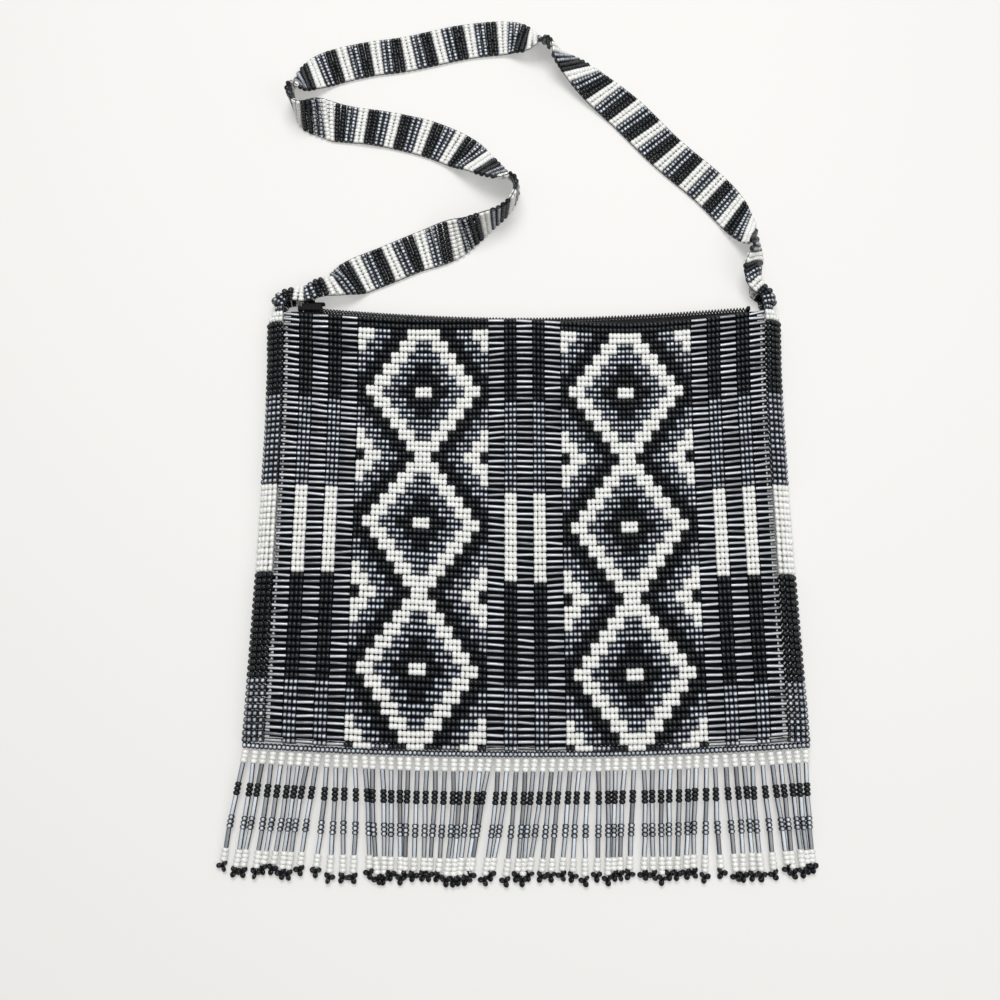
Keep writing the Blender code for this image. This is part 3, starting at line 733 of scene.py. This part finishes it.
# %% The strap's route
BAND_COLUMNS = 10
BAND_WIDTH = BAND_COLUMNS * COLUMN_PITCH
GUSSET_BULGE = 9.0 * mm
GUSSET_SPREAD = 2.2 * mm
GUSSET_OVERRUN = 3.4 * mm
TOP_PINCH = 0.55
PINCH_STEP = 0.18
FOLD_RADIUS = HALF_DEPTH - BEAD / 2
STRAP_SPAN = 2 * (TOP_HALF_WIDTH + 5.95 * mm)
STRAP_FOOT_Y = CORNER_Y + GUSSET_OVERRUN + GAP
STRAP_AXIS_Y = STRAP_FOOT_Y + 6.2 * mm

# Shares of the span for x and y; roll, fold and lean in degrees; share of the width. Lean is how
# far the rows are turned from square, because loom work shears. What a row leaves out is LEVEL.
LEVEL = (0, 0, 0, 1.0)
ROUTE_SHARES = (
    (-0.4886, -0.0074, 0, 180, 0, 0.9),
    (-0.469, -0.0015, 0, 176, 0, 0.92),
    (-0.4433, -0.0025, 0, 156, 0, 0.97),
    (-0.4196, 0.0065, 0, 122),
    (-0.388, 0.02, 0, 66, 4, 0.98),
    (-0.3605, 0.0366, 0, 22, 4),
    (-0.336, 0.0493, 0, 0, 2),
    (-0.276, 0.0751),
    (-0.222, 0.0985, 2),
    (-0.185, 0.109, 12),
    (-0.143, 0.1175, 42),
    (-0.1198, 0.1245, 60),
    (-0.0993, 0.1355, 72),
    (-0.0768, 0.1498, 82),
    (-0.0548, 0.164, 92),
    (-0.0343, 0.1818, 95),
    (-0.0205, 0.2046, 93),
    (-0.0154, 0.2278, 88),
    (-0.0217, 0.2483, 74),
    (-0.0422, 0.2586, 54),
    (-0.065, 0.2739, 40),
    (-0.0926, 0.2956, 26),
    (-0.1221, 0.3204, 8),
    (-0.181, 0.3516),
    (-0.264, 0.3761),
    (-0.352, 0.3901),
    (-0.4023, 0.3935, -16),
    (-0.4271, 0.3915, -48),
    (-0.4519, 0.3905, -70),
    (-0.4701, 0.398, -84),
    (-0.4802, 0.4158, -92),
    (-0.4862, 0.4351, -95),
    (-0.4874, 0.4509, -84, 0, -20),
    (-0.4795, 0.4674, -54, 0, -34),
    (-0.4673, 0.4855, -28, 0, -32),
    (-0.4476, 0.5052, -12, 0, -20),
    (-0.4247, 0.5202, -2, 0, -6),
    (-0.394, 0.532),
    (-0.325, 0.5491),
    (-0.255, 0.5596),
    (-0.11, 0.5921),
    (-0.022, 0.5971, -6, 0, 4),
    (0.0154, 0.5845, -26, 0, 14),
    (0.0374, 0.5771, -54, 0, 24),
    (0.0552, 0.5677, -70, 0, 24),
    (0.0715, 0.5527, -64, 0, 5),
    (0.0877, 0.5362, -44, 0, -14),
    (0.1084, 0.5196, -30, 0, -18),
    (0.134, 0.4966, -18, 0, -14),
    (0.1645, 0.4691, -8, 0, -9),
    (0.2135, 0.4255, 0, 0, -6),
    (0.303, 0.3271, 0, 0, -2),
    (0.388, 0.2461, 0, 0, 4),
    (0.425, 0.2031, 0, 0, 14),
    (0.449, 0.1676, -8, 0, 28),
    (0.4655, 0.1391, -26, 0, 44),
    (0.474, 0.1131, -62, 0, 48),
    (0.472, 0.0841, -50, 0, 46),
    (0.4665, 0.0546, -22, 44, 42),
    (0.4665, 0.0271, 0, 132, 24, 0.98),
    (0.477, 0.0125, 0, 176, 0, 0.95),
    (0.492, 0, 0, 180, 0, 0.9),
)
SPLIT_SHARE = (-0.336, 0.0493)
JOIN_SHARE = (0.388, 0.2461)

# Rows counted from the left corner to a few places, each given by its shares of the span
COUNTED_ROWS = (
    (-0.0993, 0.1355, 38.8),
    (-0.181, 0.3516, 68.0),
    (-0.4271, 0.3915, 90.6),
    (-0.4247, 0.5202, 108.9),
    (-0.022, 0.5971, 144.8),
    (0.2135, 0.4255, 172.1),
    (*JOIN_SHARE, 194.4),
)
STRAP_ROWS = 224


# %% A smooth path through the stations
def stations():
    """Numbers for each station: x, y, roll, fold, lean and width, with a foot at each gusset."""
    rows = []
    for x, y, *bends in ROUTE_SHARES:
        place = (x * STRAP_SPAN, STRAP_AXIS_Y + y * STRAP_SPAN)
        rows.append((*place, *bends, *LEVEL[len(bends) :]))
    foot_left = (-STRAP_SPAN / 2, STRAP_FOOT_Y, 0, 180, 0, 0.9)
    foot_right = (rows[-1][0] + 1.5 * mm, STRAP_FOOT_Y, 0, 180, 0, 0.9)
    return np.array([foot_left] + rows + [foot_right])


def between(first, last, start, end, t):
    """The mix of two rows when t runs from start to end."""
    return first * (end - t) / (end - start) + last * (t - start) / (end - start)


def smooth_path(rows, steps=12):
    """Catmull-Rom through the rows, evened out by their distances in plan."""
    ends = np.vstack((2 * rows[0] - rows[1], rows, 2 * rows[-1] - rows[-2]))
    apart = np.linalg.norm(np.diff(ends[:, :2], axis=0), axis=1) ** 0.5
    knots = np.concatenate(([0], np.cumsum(apart)))
    fine = []
    for i in range(1, len(ends) - 2):
        k = knots[i - 1 : i + 3]
        p = ends[i - 1 : i + 3]
        for t in np.linspace(k[1], k[2], steps, endpoint=False):
            a = [between(p[j], p[j + 1], k[j], k[j + 1], t) for j in range(3)]
            b = [between(a[j], a[j + 1], k[j], k[j + 2], t) for j in range(2)]
            fine.append(between(b[0], b[1], k[1], k[2], t))
    fine.append(rows[-1])
    return np.array(fine)


def section(width, fold, roll):
    """Ten places across the band as (sideways, up), set down on the ground."""
    fold = math.radians(max(0.0, fold))
    roll = math.radians(roll)
    arc = FOLD_RADIUS * fold
    flat = (width - arc) / 2
    steps = [(i + 0.5) / BAND_COLUMNS * width for i in range(BAND_COLUMNS)]
    line = []
    for s in [0.0] + steps + [width]:
        turn = min(max(s - flat, 0.0), arc) / FOLD_RADIUS
        rest = max(s - flat - arc, 0.0)
        side = min(s, flat) + FOLD_RADIUS * math.sin(turn) + rest * math.cos(turn)
        up = FOLD_RADIUS * (math.cos(turn) - 1) - rest * math.sin(turn)
        wide = BEAD / 2 * abs(math.sin(roll - turn))
        tall = BEAD / 2 * abs(math.cos(roll - turn))
        rolled_side = side * math.cos(roll) - up * math.sin(roll)
        rolled_up = side * math.sin(roll) + up * math.cos(roll)
        line.append((rolled_side, rolled_up, wide, tall))
    low = min(up - tall for _side, up, _wide, tall in line)
    left = min(side - wide for side, _up, wide, _tall in line)
    right = max(side + wide for side, _up, wide, _tall in line)
    return [(side - (left + right) / 2, up - low) for side, up, _wide, _tall in line[1:-1]]


# %% The whole band as rows of ten places
def gusset_bulge(row):
    """How far a gusset stands out; it is pinched where the strap begins."""
    pinch = min(1.0, TOP_PINCH + PINCH_STEP * (row + 1))
    return pinch * (GUSSET_BULGE + GUSSET_SPREAD * down_share(row_y(row)) ** 2)


def gusset_row(row, side):
    """Ten places round the side edge, front to back."""
    y = row_y(row)
    bulge = gusset_bulge(row) - BEAD / 2
    half = HALF_DEPTH - draw_in(y) - BEAD / 2
    level = y + rise(side, y) - slip(side, row)
    places = []
    for i in range(BAND_COLUMNS):
        turn = math.pi * ((i + 0.5) / BAND_COLUMNS - 0.5)
        x = side * (half_width(y) + GAP + bulge * math.cos(turn))
        places.append(Vector((x, level, HALF_DEPTH - half * math.sin(turn))))
    return places


def strap_row(path, distances, s):
    """Ten places across the strap at a distance along its path."""
    x, y, roll, fold, lean, width = (np.interp(s, distances, path[:, k]) for k in range(6))
    nearby = [s - 1.5 * mm, s + 1.5 * mm]
    dx = np.diff(np.interp(nearby, distances, path[:, 0]))[0]
    dy = np.diff(np.interp(nearby, distances, path[:, 1]))[0]
    left = Matrix.Rotation(math.radians(lean), 3, "Z") @ Vector((-dy, dx, 0)).normalized()
    places = section(width * BAND_WIDTH, fold, roll)
    return [Vector((x, y, 0)) + left * side + Vector((0, 0, up)) for side, up in places]


path = smooth_path(stations())
apart = np.linalg.norm(np.diff(path[:, :2], axis=0), axis=1)
distances = np.concatenate(([0], np.cumsum(apart)))


def distance_to(share_x, share_y):
    """How far along the path the place with these shares lies."""
    x = share_x * STRAP_SPAN
    y = STRAP_AXIS_Y + share_y * STRAP_SPAN
    nearest = int(np.argmin((path[:, 0] - x) ** 2 + (path[:, 1] - y) ** 2))
    return distances[nearest]


# Beads slide on their threads, so the rows lie closer in one stretch than in the next
counts = [0] + [count for _x, _y, count in COUNTED_ROWS] + [STRAP_ROWS]
marks = [0] + [distance_to(x, y) for x, y, _count in COUNTED_ROWS] + [distances[-1]]
row_distances = np.interp(np.arange(STRAP_ROWS) + 0.5, counts, marks)
strap_grid = [strap_row(path, distances, s) for s in row_distances]


def rows_before(share_x, share_y):
    """How many strap rows lie before the place with these shares."""
    return round(float(np.interp(distance_to(share_x, share_y), marks, counts)))


split_row = rows_before(*SPLIT_SHARE)
join_row = rows_before(*JOIN_SHARE)
print("strap:", round(distances[-1], 4), "m, rows to the join:", join_row)

# %% Tones along the band
STRIPES = (GREY, GREY, BLACK, BLACK, WHITE, WHITE)


def strap_tone(row):
    """The stripes run grey, black, white from both corners and meet at the join."""
    if row < join_row:
        return STRIPES[row % len(STRIPES)]
    return STRIPES[(STRAP_ROWS - 1 - row) % len(STRIPES)]


# %% Gussets and strap
def band_piece(name, grid, tones, first, last, body, node_name, seed):
    """Weaves rows first to last, with a row beyond each end for directions, into one piece."""
    low = max(first - 1, 0)
    high = min(last + 1, len(grid))
    beads = weave(
        grid[low:high],
        lambda r, c: tones[low + r] if first <= low + r < last else None,
        spread=0.07 * mm,
        seed=seed,
    )
    return keep(string_beads(name, beads, seed=seed), body, "bead_band", node_name)


# The stripe that starts each gusset is white, like the strap's; black follows
GUSSET_TOP = [GREY, WHITE, WHITE]
gusset_tones = GUSSET_TOP + [band_tone(row) for row in range(len(GUSSET_TOP) - 1, ROWS)]
for label, side, seed in (("left", -1, 31), ("right", 1, 37)):
    rows = [gusset_row(row, side) for row in range(-1, ROWS)]
    tones = gusset_tones
    if side < 0:
        rows = rows[::-1]
        tones = tones[::-1]
    band_piece(
        f"{label}_gusset_beads", rows, tones, 0, len(rows), "bag", f"{label}_gusset", seed
    )

strap_tones = [strap_tone(row) for row in range(STRAP_ROWS)]
turn_rows = [rows_before(-0.181, 0.3516), rows_before(-0.255, 0.5596)]

# These pieces get two places in a body's stead, so keep only bakes their transform
LEFT_BLEND = ((-0.118, STRAP_AXIS_Y, 0), (-0.08, STRAP_AXIS_Y, 0))
RIGHT_BLEND = ((0.122, STRAP_AXIS_Y - 0.01, 0), (0.122, STRAP_AXIS_Y + 0.002, 0))
STRAP_PIECES = (
    ("left_end", 0, split_row, LEFT_BLEND),
    ("lower_band", split_row, turn_rows[0], LEFT_BLEND),
    ("middle_band", turn_rows[0], turn_rows[1], "strap"),
    ("upper_band", turn_rows[1], join_row, "strap"),
    ("right_end", join_row, STRAP_ROWS, RIGHT_BLEND),
)
for i, (label, first, last, body) in enumerate(STRAP_PIECES):
    band_piece(
        f"strap_{label}_beads", strap_grid, strap_tones, first, last, body, f"strap_{label}", 41 + i
    )

# %% [markdown]
# ## The bottom row and the fringe
# A single row of grey beads closes the bag, and a strand hangs from every second bead. Each
# strand is strung alike: three white beads, a bugle, three black, a bugle, three grey, a bugle,
# three or four white, and a tip of three open black rings. What differs is how it has fallen:
# the strands have been swept into groups, and each has its own small drift.

# %% Bottom row
HEM_HALF = half_width(-HALF_HEIGHT) + GUSSET_BULGE + GUSSET_SPREAD - 0.5 * mm
HEM_BEADS = round(2 * HEM_HALF / COLUMN_PITCH)
HEM_LIFT = 0.25 * mm


def hem_point(across):
    y = -HALF_HEIGHT - BEAD / 2 + HEM_LIFT + RISE * across**2
    return Vector((across * HEM_HALF, y, HALF_DEPTH))


loose = np.random.RandomState(5)
hem_beads = []
for k in range(HEM_BEADS):
    across = (k + 0.5) / HEM_BEADS * 2 - 1
    along = hem_point(across + 0.01) - hem_point(across - 0.01)
    drift = Vector(loose.uniform(-0.08 * mm, 0.08 * mm, 3))
    hem_beads.append(Bead(hem_point(across) + drift, along, Vector((0, 0, 1)), GREY))
keep(string_beads("hem_row_beads", hem_beads, seed=53), "bag", "bead_hem", "hem_row")

# %% Fringe
BUNCHES = 9
STRANDS = 7
STRING = "www|bbb|ggg|www"
STRAND_START = 2.05 * mm
STRAND_REACH = 58.3 * mm
TIP_HEIGHT = 1.6 * mm
TIP_LOWEST = 1.3 * mm
TIP_STEM_MM = 2.2
TIP_SPREAD_MM = 1.5
FOURTH_WHITE_SHARE = 0.35
FRINGE_FILL = {"w": 1.13, "b": 1.06, "g": 1.04, "|": 1.15}

# How far tips lie to the right of their roots, in mm, for places across the bag from -1 to 1
SWEPT = (
    (-1.0, -10.0), (-0.9, -7.5), (-0.74, -9.0),
    (-0.71, -6.0), (-0.65, -1.0), (-0.61, -0.3),
    (-0.58, 4.4), (-0.52, 2.9), (-0.42, -0.5),
    (-0.32, -1.7), (-0.25, -4.4), (-0.11, -8.6),
    (0.0, -5.8), (0.07, -6.9), (0.13, -5.5),
    (0.22, -2.9), (0.29, -1.2), (0.35, -4.5),
    (0.42, -1.5), (0.5, -1.2), (0.55, -3.4),
    (0.63, -3.0), (0.68, 3.4), (0.81, 3.4),
    (0.84, 6.3), (0.97, 2.9), (1.0, 2.0),
)
TONE_OF = {"w": WHITE, "b": BLACK, "g": GREY, "|": FRINGE_SILVER}
UP = Vector((0, 0, 1))


def swept_at(across):
    """How far a tip lies to the right of its root; the strands have been swept into groups."""
    places, offsets = zip(*SWEPT)
    return float(np.interp(across, places, offsets)) * mm


def strand_beads(root, tip, bow, loose):
    """Beads along a gently bowed strand, from its root to its tip."""
    beads = []
    length = (tip - root).length
    side = (tip - root).cross(UP).normalized()

    def at(distance):
        share = distance / length
        return root + (tip - root) * share + side * bow * math.sin(math.pi * share)

    string = STRING + ("w" if loose.uniform() < FOURTH_WHITE_SHARE else "")
    distance = STRAND_START
    for kind in string:
        form = BUGLE if kind == "|" else ROUND
        piece = FRINGE_BUGLE_LENGTH if form else COLUMN_PITCH * loose.uniform(0.95, 1.03)
        middle = at(distance + piece / 2)
        along = at(distance + piece) - at(distance)
        size = FRINGE_FILL[kind] * loose.uniform(*((0.9, 1.05) if form else (0.95, 1.03)))
        beads.append(Bead(middle, along, UP, TONE_OF[kind], form, (1, size, size)))
        distance += piece
    heading = (at(distance) - at(distance - mm)).normalized()
    side = heading.cross(UP).normalized()
    turn = loose.uniform(-0.6, 0.6)
    centre = at(distance) + heading * TIP_STEM_MM * mm
    for third in (-1, 0, 1):
        angle = third * 2 * math.pi / 3 + turn
        spoke = heading * math.cos(angle) + side * math.sin(angle)
        place = centre + spoke * TIP_SPREAD_MM * mm
        place.z = max(place.z, TIP_LOWEST)
        round_way = side * math.cos(angle) - heading * math.sin(angle)
        along = round_way + Vector((0, 0, loose.uniform(0.4, 1.6)))
        beads.append(Bead(place, along, spoke, BLACK, RING, (0.95, 0.85, 0.85)))
    return beads


for bunch in range(BUNCHES):
    loose = np.random.RandomState(60 + bunch)
    beads = []
    first = hem_point(2 * bunch / BUNCHES - 1)
    last = hem_point(2 * (bunch + 1) / BUNCHES - 1)
    for strand in range(STRANDS):
        share = (strand + 0.5) / STRANDS
        across = (2 * (bunch + share) / BUNCHES) - 1
        root = first.lerp(last, share)
        down = Vector((0, -STRAND_REACH, 0))
        offset = swept_at(across) + loose.normal(0, 0.6 * mm)
        tip = root + down + Vector((offset, loose.normal(0, mm), 0))
        tip.z = TIP_HEIGHT + loose.uniform(0, 0.8) * mm
        beads += strand_beads(root, tip, loose.normal(0, 0.6 * mm), loose)
    piece = string_beads(
        f"fringe_{bunch + 1}_beads", beads, seed=70 + bunch, tilt=0.04, bugle=FRINGE_BUGLE_LENGTH
    )
    keep(piece, f"fringe_{bunch + 1}", "bead_fringe", f"fringe_bunch_{bunch + 1}")

# %% [markdown]
# ## The zip
# Two woven tapes carry two nylon coils. A coil is a helix that has been pressed a little flat,
# and its turns are what shows as teeth along the mouth. The zip isn't as stiff as the solids
# make it: in the middle it sinks with the bead rows, so tapes and coils follow the same curve.

# %% Thread tree: a tube along a line
def thread_tree():
    tree = bpy.data.node_groups.new("Thread", "GeometryNodeTree")
    given, end = tree_inputs(tree, {"Thickness": 0.3 * mm, "Sides": 5})
    curve = node(tree, "GeometryNodeMeshToCurve", {"Mesh": given["Geometry"]})
    radius = maths(tree, "MULTIPLY", given["Thickness"], 0.5)
    circle = {"Resolution": given["Sides"], "Radius": radius}
    section = node(tree, "GeometryNodeCurvePrimitiveCircle", circle)
    inputs = {"Curve": curve, "Profile Curve": section, "Fill Caps": True}
    tube = node(tree, "GeometryNodeCurveToMesh", inputs)
    tube = node(tree, "GeometryNodeSetShadeSmooth", {0: tube})
    tube = node(tree, "GeometryNodeRealizeInstances", {"Geometry": tube})
    feed(tree, end, {"Geometry": tube})
    return tree


THREAD = thread_tree()


def tubes(name, lines, thickness, material, sides=5):
    """One mesh of tubes, one for each line of places."""
    places = []
    edges = []
    for line in lines:
        edges += [(len(places) + i, len(places) + i + 1) for i in range(len(line) - 1)]
        places += [tuple(place) for place in line]
    mesh = bpy.data.meshes.new(name)
    mesh.from_pydata(places, edges, [])
    made = grow(new_object(name, mesh), THREAD, {"Thickness": thickness, "Sides": sides})
    made.data.materials.clear()
    made.data.materials.append(material)
    return made


# %% Cloth, nylon and metal
def weave_group():
    """Black cloth: warp and weft that cross over and under each other. The colour is painted
    darker in the hollows of the weave and lighter on its crests, as shade and light.
    """
    tree = bpy.data.node_groups.new("Woven Cloth", "ShaderNodeTree")
    group_input(tree, "Colour", "NodeSocketColor")
    group_input(tree, "Threads per Metre", "NodeSocketFloat", 2500.0)
    group_input(tree, "Relief", "NodeSocketFloat", 0.4)
    group_output(tree, "Colour", "NodeSocketColor")
    group_output(tree, "Normal", "NodeSocketVector")
    start, end = group_ends(tree)
    place = node(tree, "ShaderNodeTexCoord", output="Object")
    axes = node(tree, "ShaderNodeSeparateXYZ", {0: place}).node.outputs
    turns = maths(tree, "MULTIPLY", start.outputs["Threads per Metre"], math.pi)
    warp = maths(tree, "SINE", maths(tree, "MULTIPLY", axes["X"], turns))
    weft = maths(tree, "SINE", maths(tree, "MULTIPLY", axes["Y"], turns))
    height = maths(tree, "MULTIPLY", warp, weft)
    inputs = {"Strength": start.outputs["Relief"], "Distance": 0.1 * mm, "Height": height}
    bump = node(tree, "ShaderNodeBump", inputs)
    noise = node(tree, "ShaderNodeTexNoise", {"Vector": place, "Scale": 350.0})
    # Painted shade and light: the weave's height darkens its hollows and lightens its crests; the
    # noise is the cloth's own random tone
    shade = maths(tree, "MULTIPLY_ADD", height, 0.25, maths(tree, "ADD", noise, 0.4))
    colour = scaled(tree, start.outputs["Colour"], shade)
    feed(tree, end, {"Colour": colour, "Normal": bump})
    return tree


WOVEN_CLOTH = weave_group()


def cloth(name, colour, threads):
    material, tree, shader = new_material(name, roughness=0.85, specular=0.15)
    group = tree.nodes.new("ShaderNodeGroup")
    group.node_tree = WOVEN_CLOTH
    feed(tree, group, {"Colour": (*colour, 1), "Threads per Metre": threads})
    made = group.outputs
    feed(tree, shader, {"Base Color": made["Colour"], "Normal": made["Normal"]})
    return material


def plain(name, colour, roughness, specular=0.3):
    """A plain finish whose shade and roughness drift a little over the piece."""
    material, tree, shader = new_material(name, specular=specular)
    place = node(tree, "ShaderNodeTexCoord", output="Object")
    noise = node(tree, "ShaderNodeTexNoise", {"Vector": place, "Scale": 400.0, "Detail": 3.0})
    lighter = tuple(1.5 * c for c in colour)
    colours = mix_colours(tree, noise, (*colour, 1), (*lighter, 1))
    rough = maths(tree, "MULTIPLY_ADD", noise, 0.2, roughness - 0.1)
    feed(tree, shader, {"Base Color": colours, "Roughness": rough})
    return material


LINING_CLOTH = cloth("lining_cloth", (0.010, 0.011, 0.016), 3000.0)
TAPE_CLOTH = cloth("zip_tape_cloth", (0.014, 0.014, 0.016), 1800.0)
NYLON = plain("zip_nylon", (0.03, 0.03, 0.032), 0.45)
METAL = plain("lacquered_metal", (0.008, 0.008, 0.009), 0.6, specular=0.08)
DARK_THREAD = plain("dark_thread", (0.02, 0.02, 0.022), 0.7)


# %% Sheets of cloth
def cloth_sheet(name, rows, material):
    """A smooth sheet of cloth through rows of places."""
    wide = len(rows[0])
    faces = []
    for i in range(len(rows) - 1):
        for j in range(wide - 1):
            a = i * wide + j
            faces.append((a, a + 1, a + wide + 1, a + wide))
    mesh = bpy.data.meshes.new(name)
    mesh.from_pydata([place for row in rows for place in row], [], faces)
    mesh.materials.append(material)
    for face in mesh.polygons:
        face.use_smooth = True
    return new_object(name, mesh)


# %% Coils and tapes
COIL_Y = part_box("front_zip_coil")[0].y / 2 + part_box("front_zip_coil")[1].y / 2
COIL_HALF_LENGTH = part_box("front_zip_coil")[1].x
COIL_WIDTH = 2.45 * mm
COIL_HEIGHT = 2.0 * mm
TOOTH_PITCH = 1.6 * mm
NYLON_THICKNESS = 0.75 * mm
TURN_STEPS = 10
TAPE_HALF_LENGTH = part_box("front_zip_tape")[1].x
TAPE_DEPTH = 11.0 * mm
TAPE_STEPS = 60
ZIP_SAG = 5.6 * mm


def zip_sag(x):
    """How far the zip sinks below its straight line, nothing at its ends."""
    share = min(1.0, abs(x) / COIL_HALF_LENGTH)
    return ZIP_SAG * (1 - share**2) ** 1.2


def coil_line(side):
    turns = round(2 * COIL_HALF_LENGTH / TOOTH_PITCH)
    across = (COIL_WIDTH - NYLON_THICKNESS) / 2
    up = (COIL_HEIGHT - NYLON_THICKNESS) / 2
    line = []
    for k in range(turns * TURN_STEPS + 1):
        angle = 2 * math.pi * k / TURN_STEPS
        x = -COIL_HALF_LENGTH + 2 * COIL_HALF_LENGTH * k / (turns * TURN_STEPS)
        z = HALF_DEPTH + side * (COIL_WIDTH / 2 + GAP / 2) + across * math.cos(angle)
        y = COIL_Y - zip_sag(x) + up * math.sin(angle)
        line.append((x, y, z))
    return line


def tape_sheet(label, side):
    """A tape folds from the coil outwards, then goes down inside its panel."""
    tape_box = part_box(f"{label}_zip_tape")
    fold_z = tape_box[1].z if side > 0 else tape_box[0].z
    inner_z = HALF_DEPTH + side * (GAP / 2 + 0.2 * mm)
    top = COIL_Y - COIL_HEIGHT / 2 - 0.1 * mm
    outer_z = fold_z - side * 0.25 * mm
    profile = [(top, inner_z), (top, (inner_z + outer_z) / 2), (top - 0.3 * mm, outer_z)]
    steps = 6
    profile += [(top - TAPE_DEPTH * k / steps, outer_z) for k in range(1, steps + 1)]
    rows = []
    for i in range(TAPE_STEPS + 1):
        x = TAPE_HALF_LENGTH * (2 * i / TAPE_STEPS - 1)
        rows.append([(x, y - zip_sag(x), z) for y, z in profile])
    piece = cloth_sheet(f"{label}_zip_tape_cloth", rows, TAPE_CLOTH)
    keep(piece, "bag", "zip_tape", f"{label}_zip_tape")


for label, side in (("front", 1), ("back", -1)):
    coil = tubes(f"{label}_coil_turns", [coil_line(side)], NYLON_THICKNESS, NYLON)
    keep(coil, "bag", "zip_nylon", f"{label}_zip_coil")
    tape_sheet(label, side)
for name in ("left_zip_stop", "right_zip_stop", "zip_slider", "zip_pull"):
    metal_piece = bpy.data.objects[name]
    metal_piece.data.materials.clear()
    metal_piece.data.materials.append(METAL)

# %% [markdown]
# ## The band's threads
# A loom's warp threads lie between the columns, and one runs along each edge. They are thin, but
# they are what darkens the dots between the white beads, and the edge threads show as a fine
# line.

# %% Warp threads
WARP_THICKNESS = 0.5 * mm
EDGE_THICKNESS = 0.4 * mm
EDGE_OUTSET = 0.62


def warp_lines(rows):
    """A line between each two columns, at the depth of the beads' holes."""
    return [[(row[c] + row[c + 1]) / 2 for row in rows] for c in range(BAND_COLUMNS - 1)]


def edge_lines(rows):
    """The first and last warp, just outside the beads."""
    first = [row[0] + (row[0] - row[1]) * EDGE_OUTSET for row in rows]
    last = [row[-1] + (row[-1] - row[-2]) * EDGE_OUTSET for row in rows]
    return [first, last]


for label, first, last, body in STRAP_PIECES:
    rows = strap_grid[first : min(last + 1, STRAP_ROWS)]
    for word, lines, thickness in (
        ("warp", warp_lines(rows), WARP_THICKNESS),
        ("edge", edge_lines(rows), EDGE_THICKNESS),
    ):
        threads = tubes(f"strap_{label}_{word}_threads", lines, thickness, DARK_THREAD, 4)
        keep(threads, body, "zip_nylon")
    print(label, "threads:", BAND_COLUMNS + 1, "along", len(rows), "rows")

# %% [markdown]
# ## The lining
# Black cloth lies behind each panel. It is what makes the gaps between the beads dark, so it has
# to be there even though only the gaps show it.

# %% Lining
LINING_COLUMNS = 48
LINING_ROWS = 40
LINING_SHARE = 0.985
LINING_GAP = 0.45 * mm
LINING_WAVE = 0.12 * mm


def lining_sheet(label, side):
    low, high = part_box(f"{label}_lining")
    rows = []
    for i in range(LINING_ROWS + 1):
        y = high.y - RISE + (low.y - high.y + RISE) * i / LINING_ROWS
        row = []
        for j in range(LINING_COLUMNS + 1):
            across = 2 * j / LINING_COLUMNS - 1
            x = LINING_SHARE * across * half_width(y)
            out = HALF_DEPTH - draw_in(y) - BEAD - LINING_GAP
            out += LINING_WAVE * math.sin(7 * across + 0.9 * i) * math.sin(0.5 * i + 3 * across)
            row.append((x, y + RISE * across**2, HALF_DEPTH + side * out))
        rows.append(row)
    piece = cloth_sheet(f"{label}_lining_cloth", rows, LINING_CLOTH)
    keep(piece, "bag", "lining_cloth", f"{label}_lining")


lining_sheet("front", 1)
lining_sheet("back", -1)
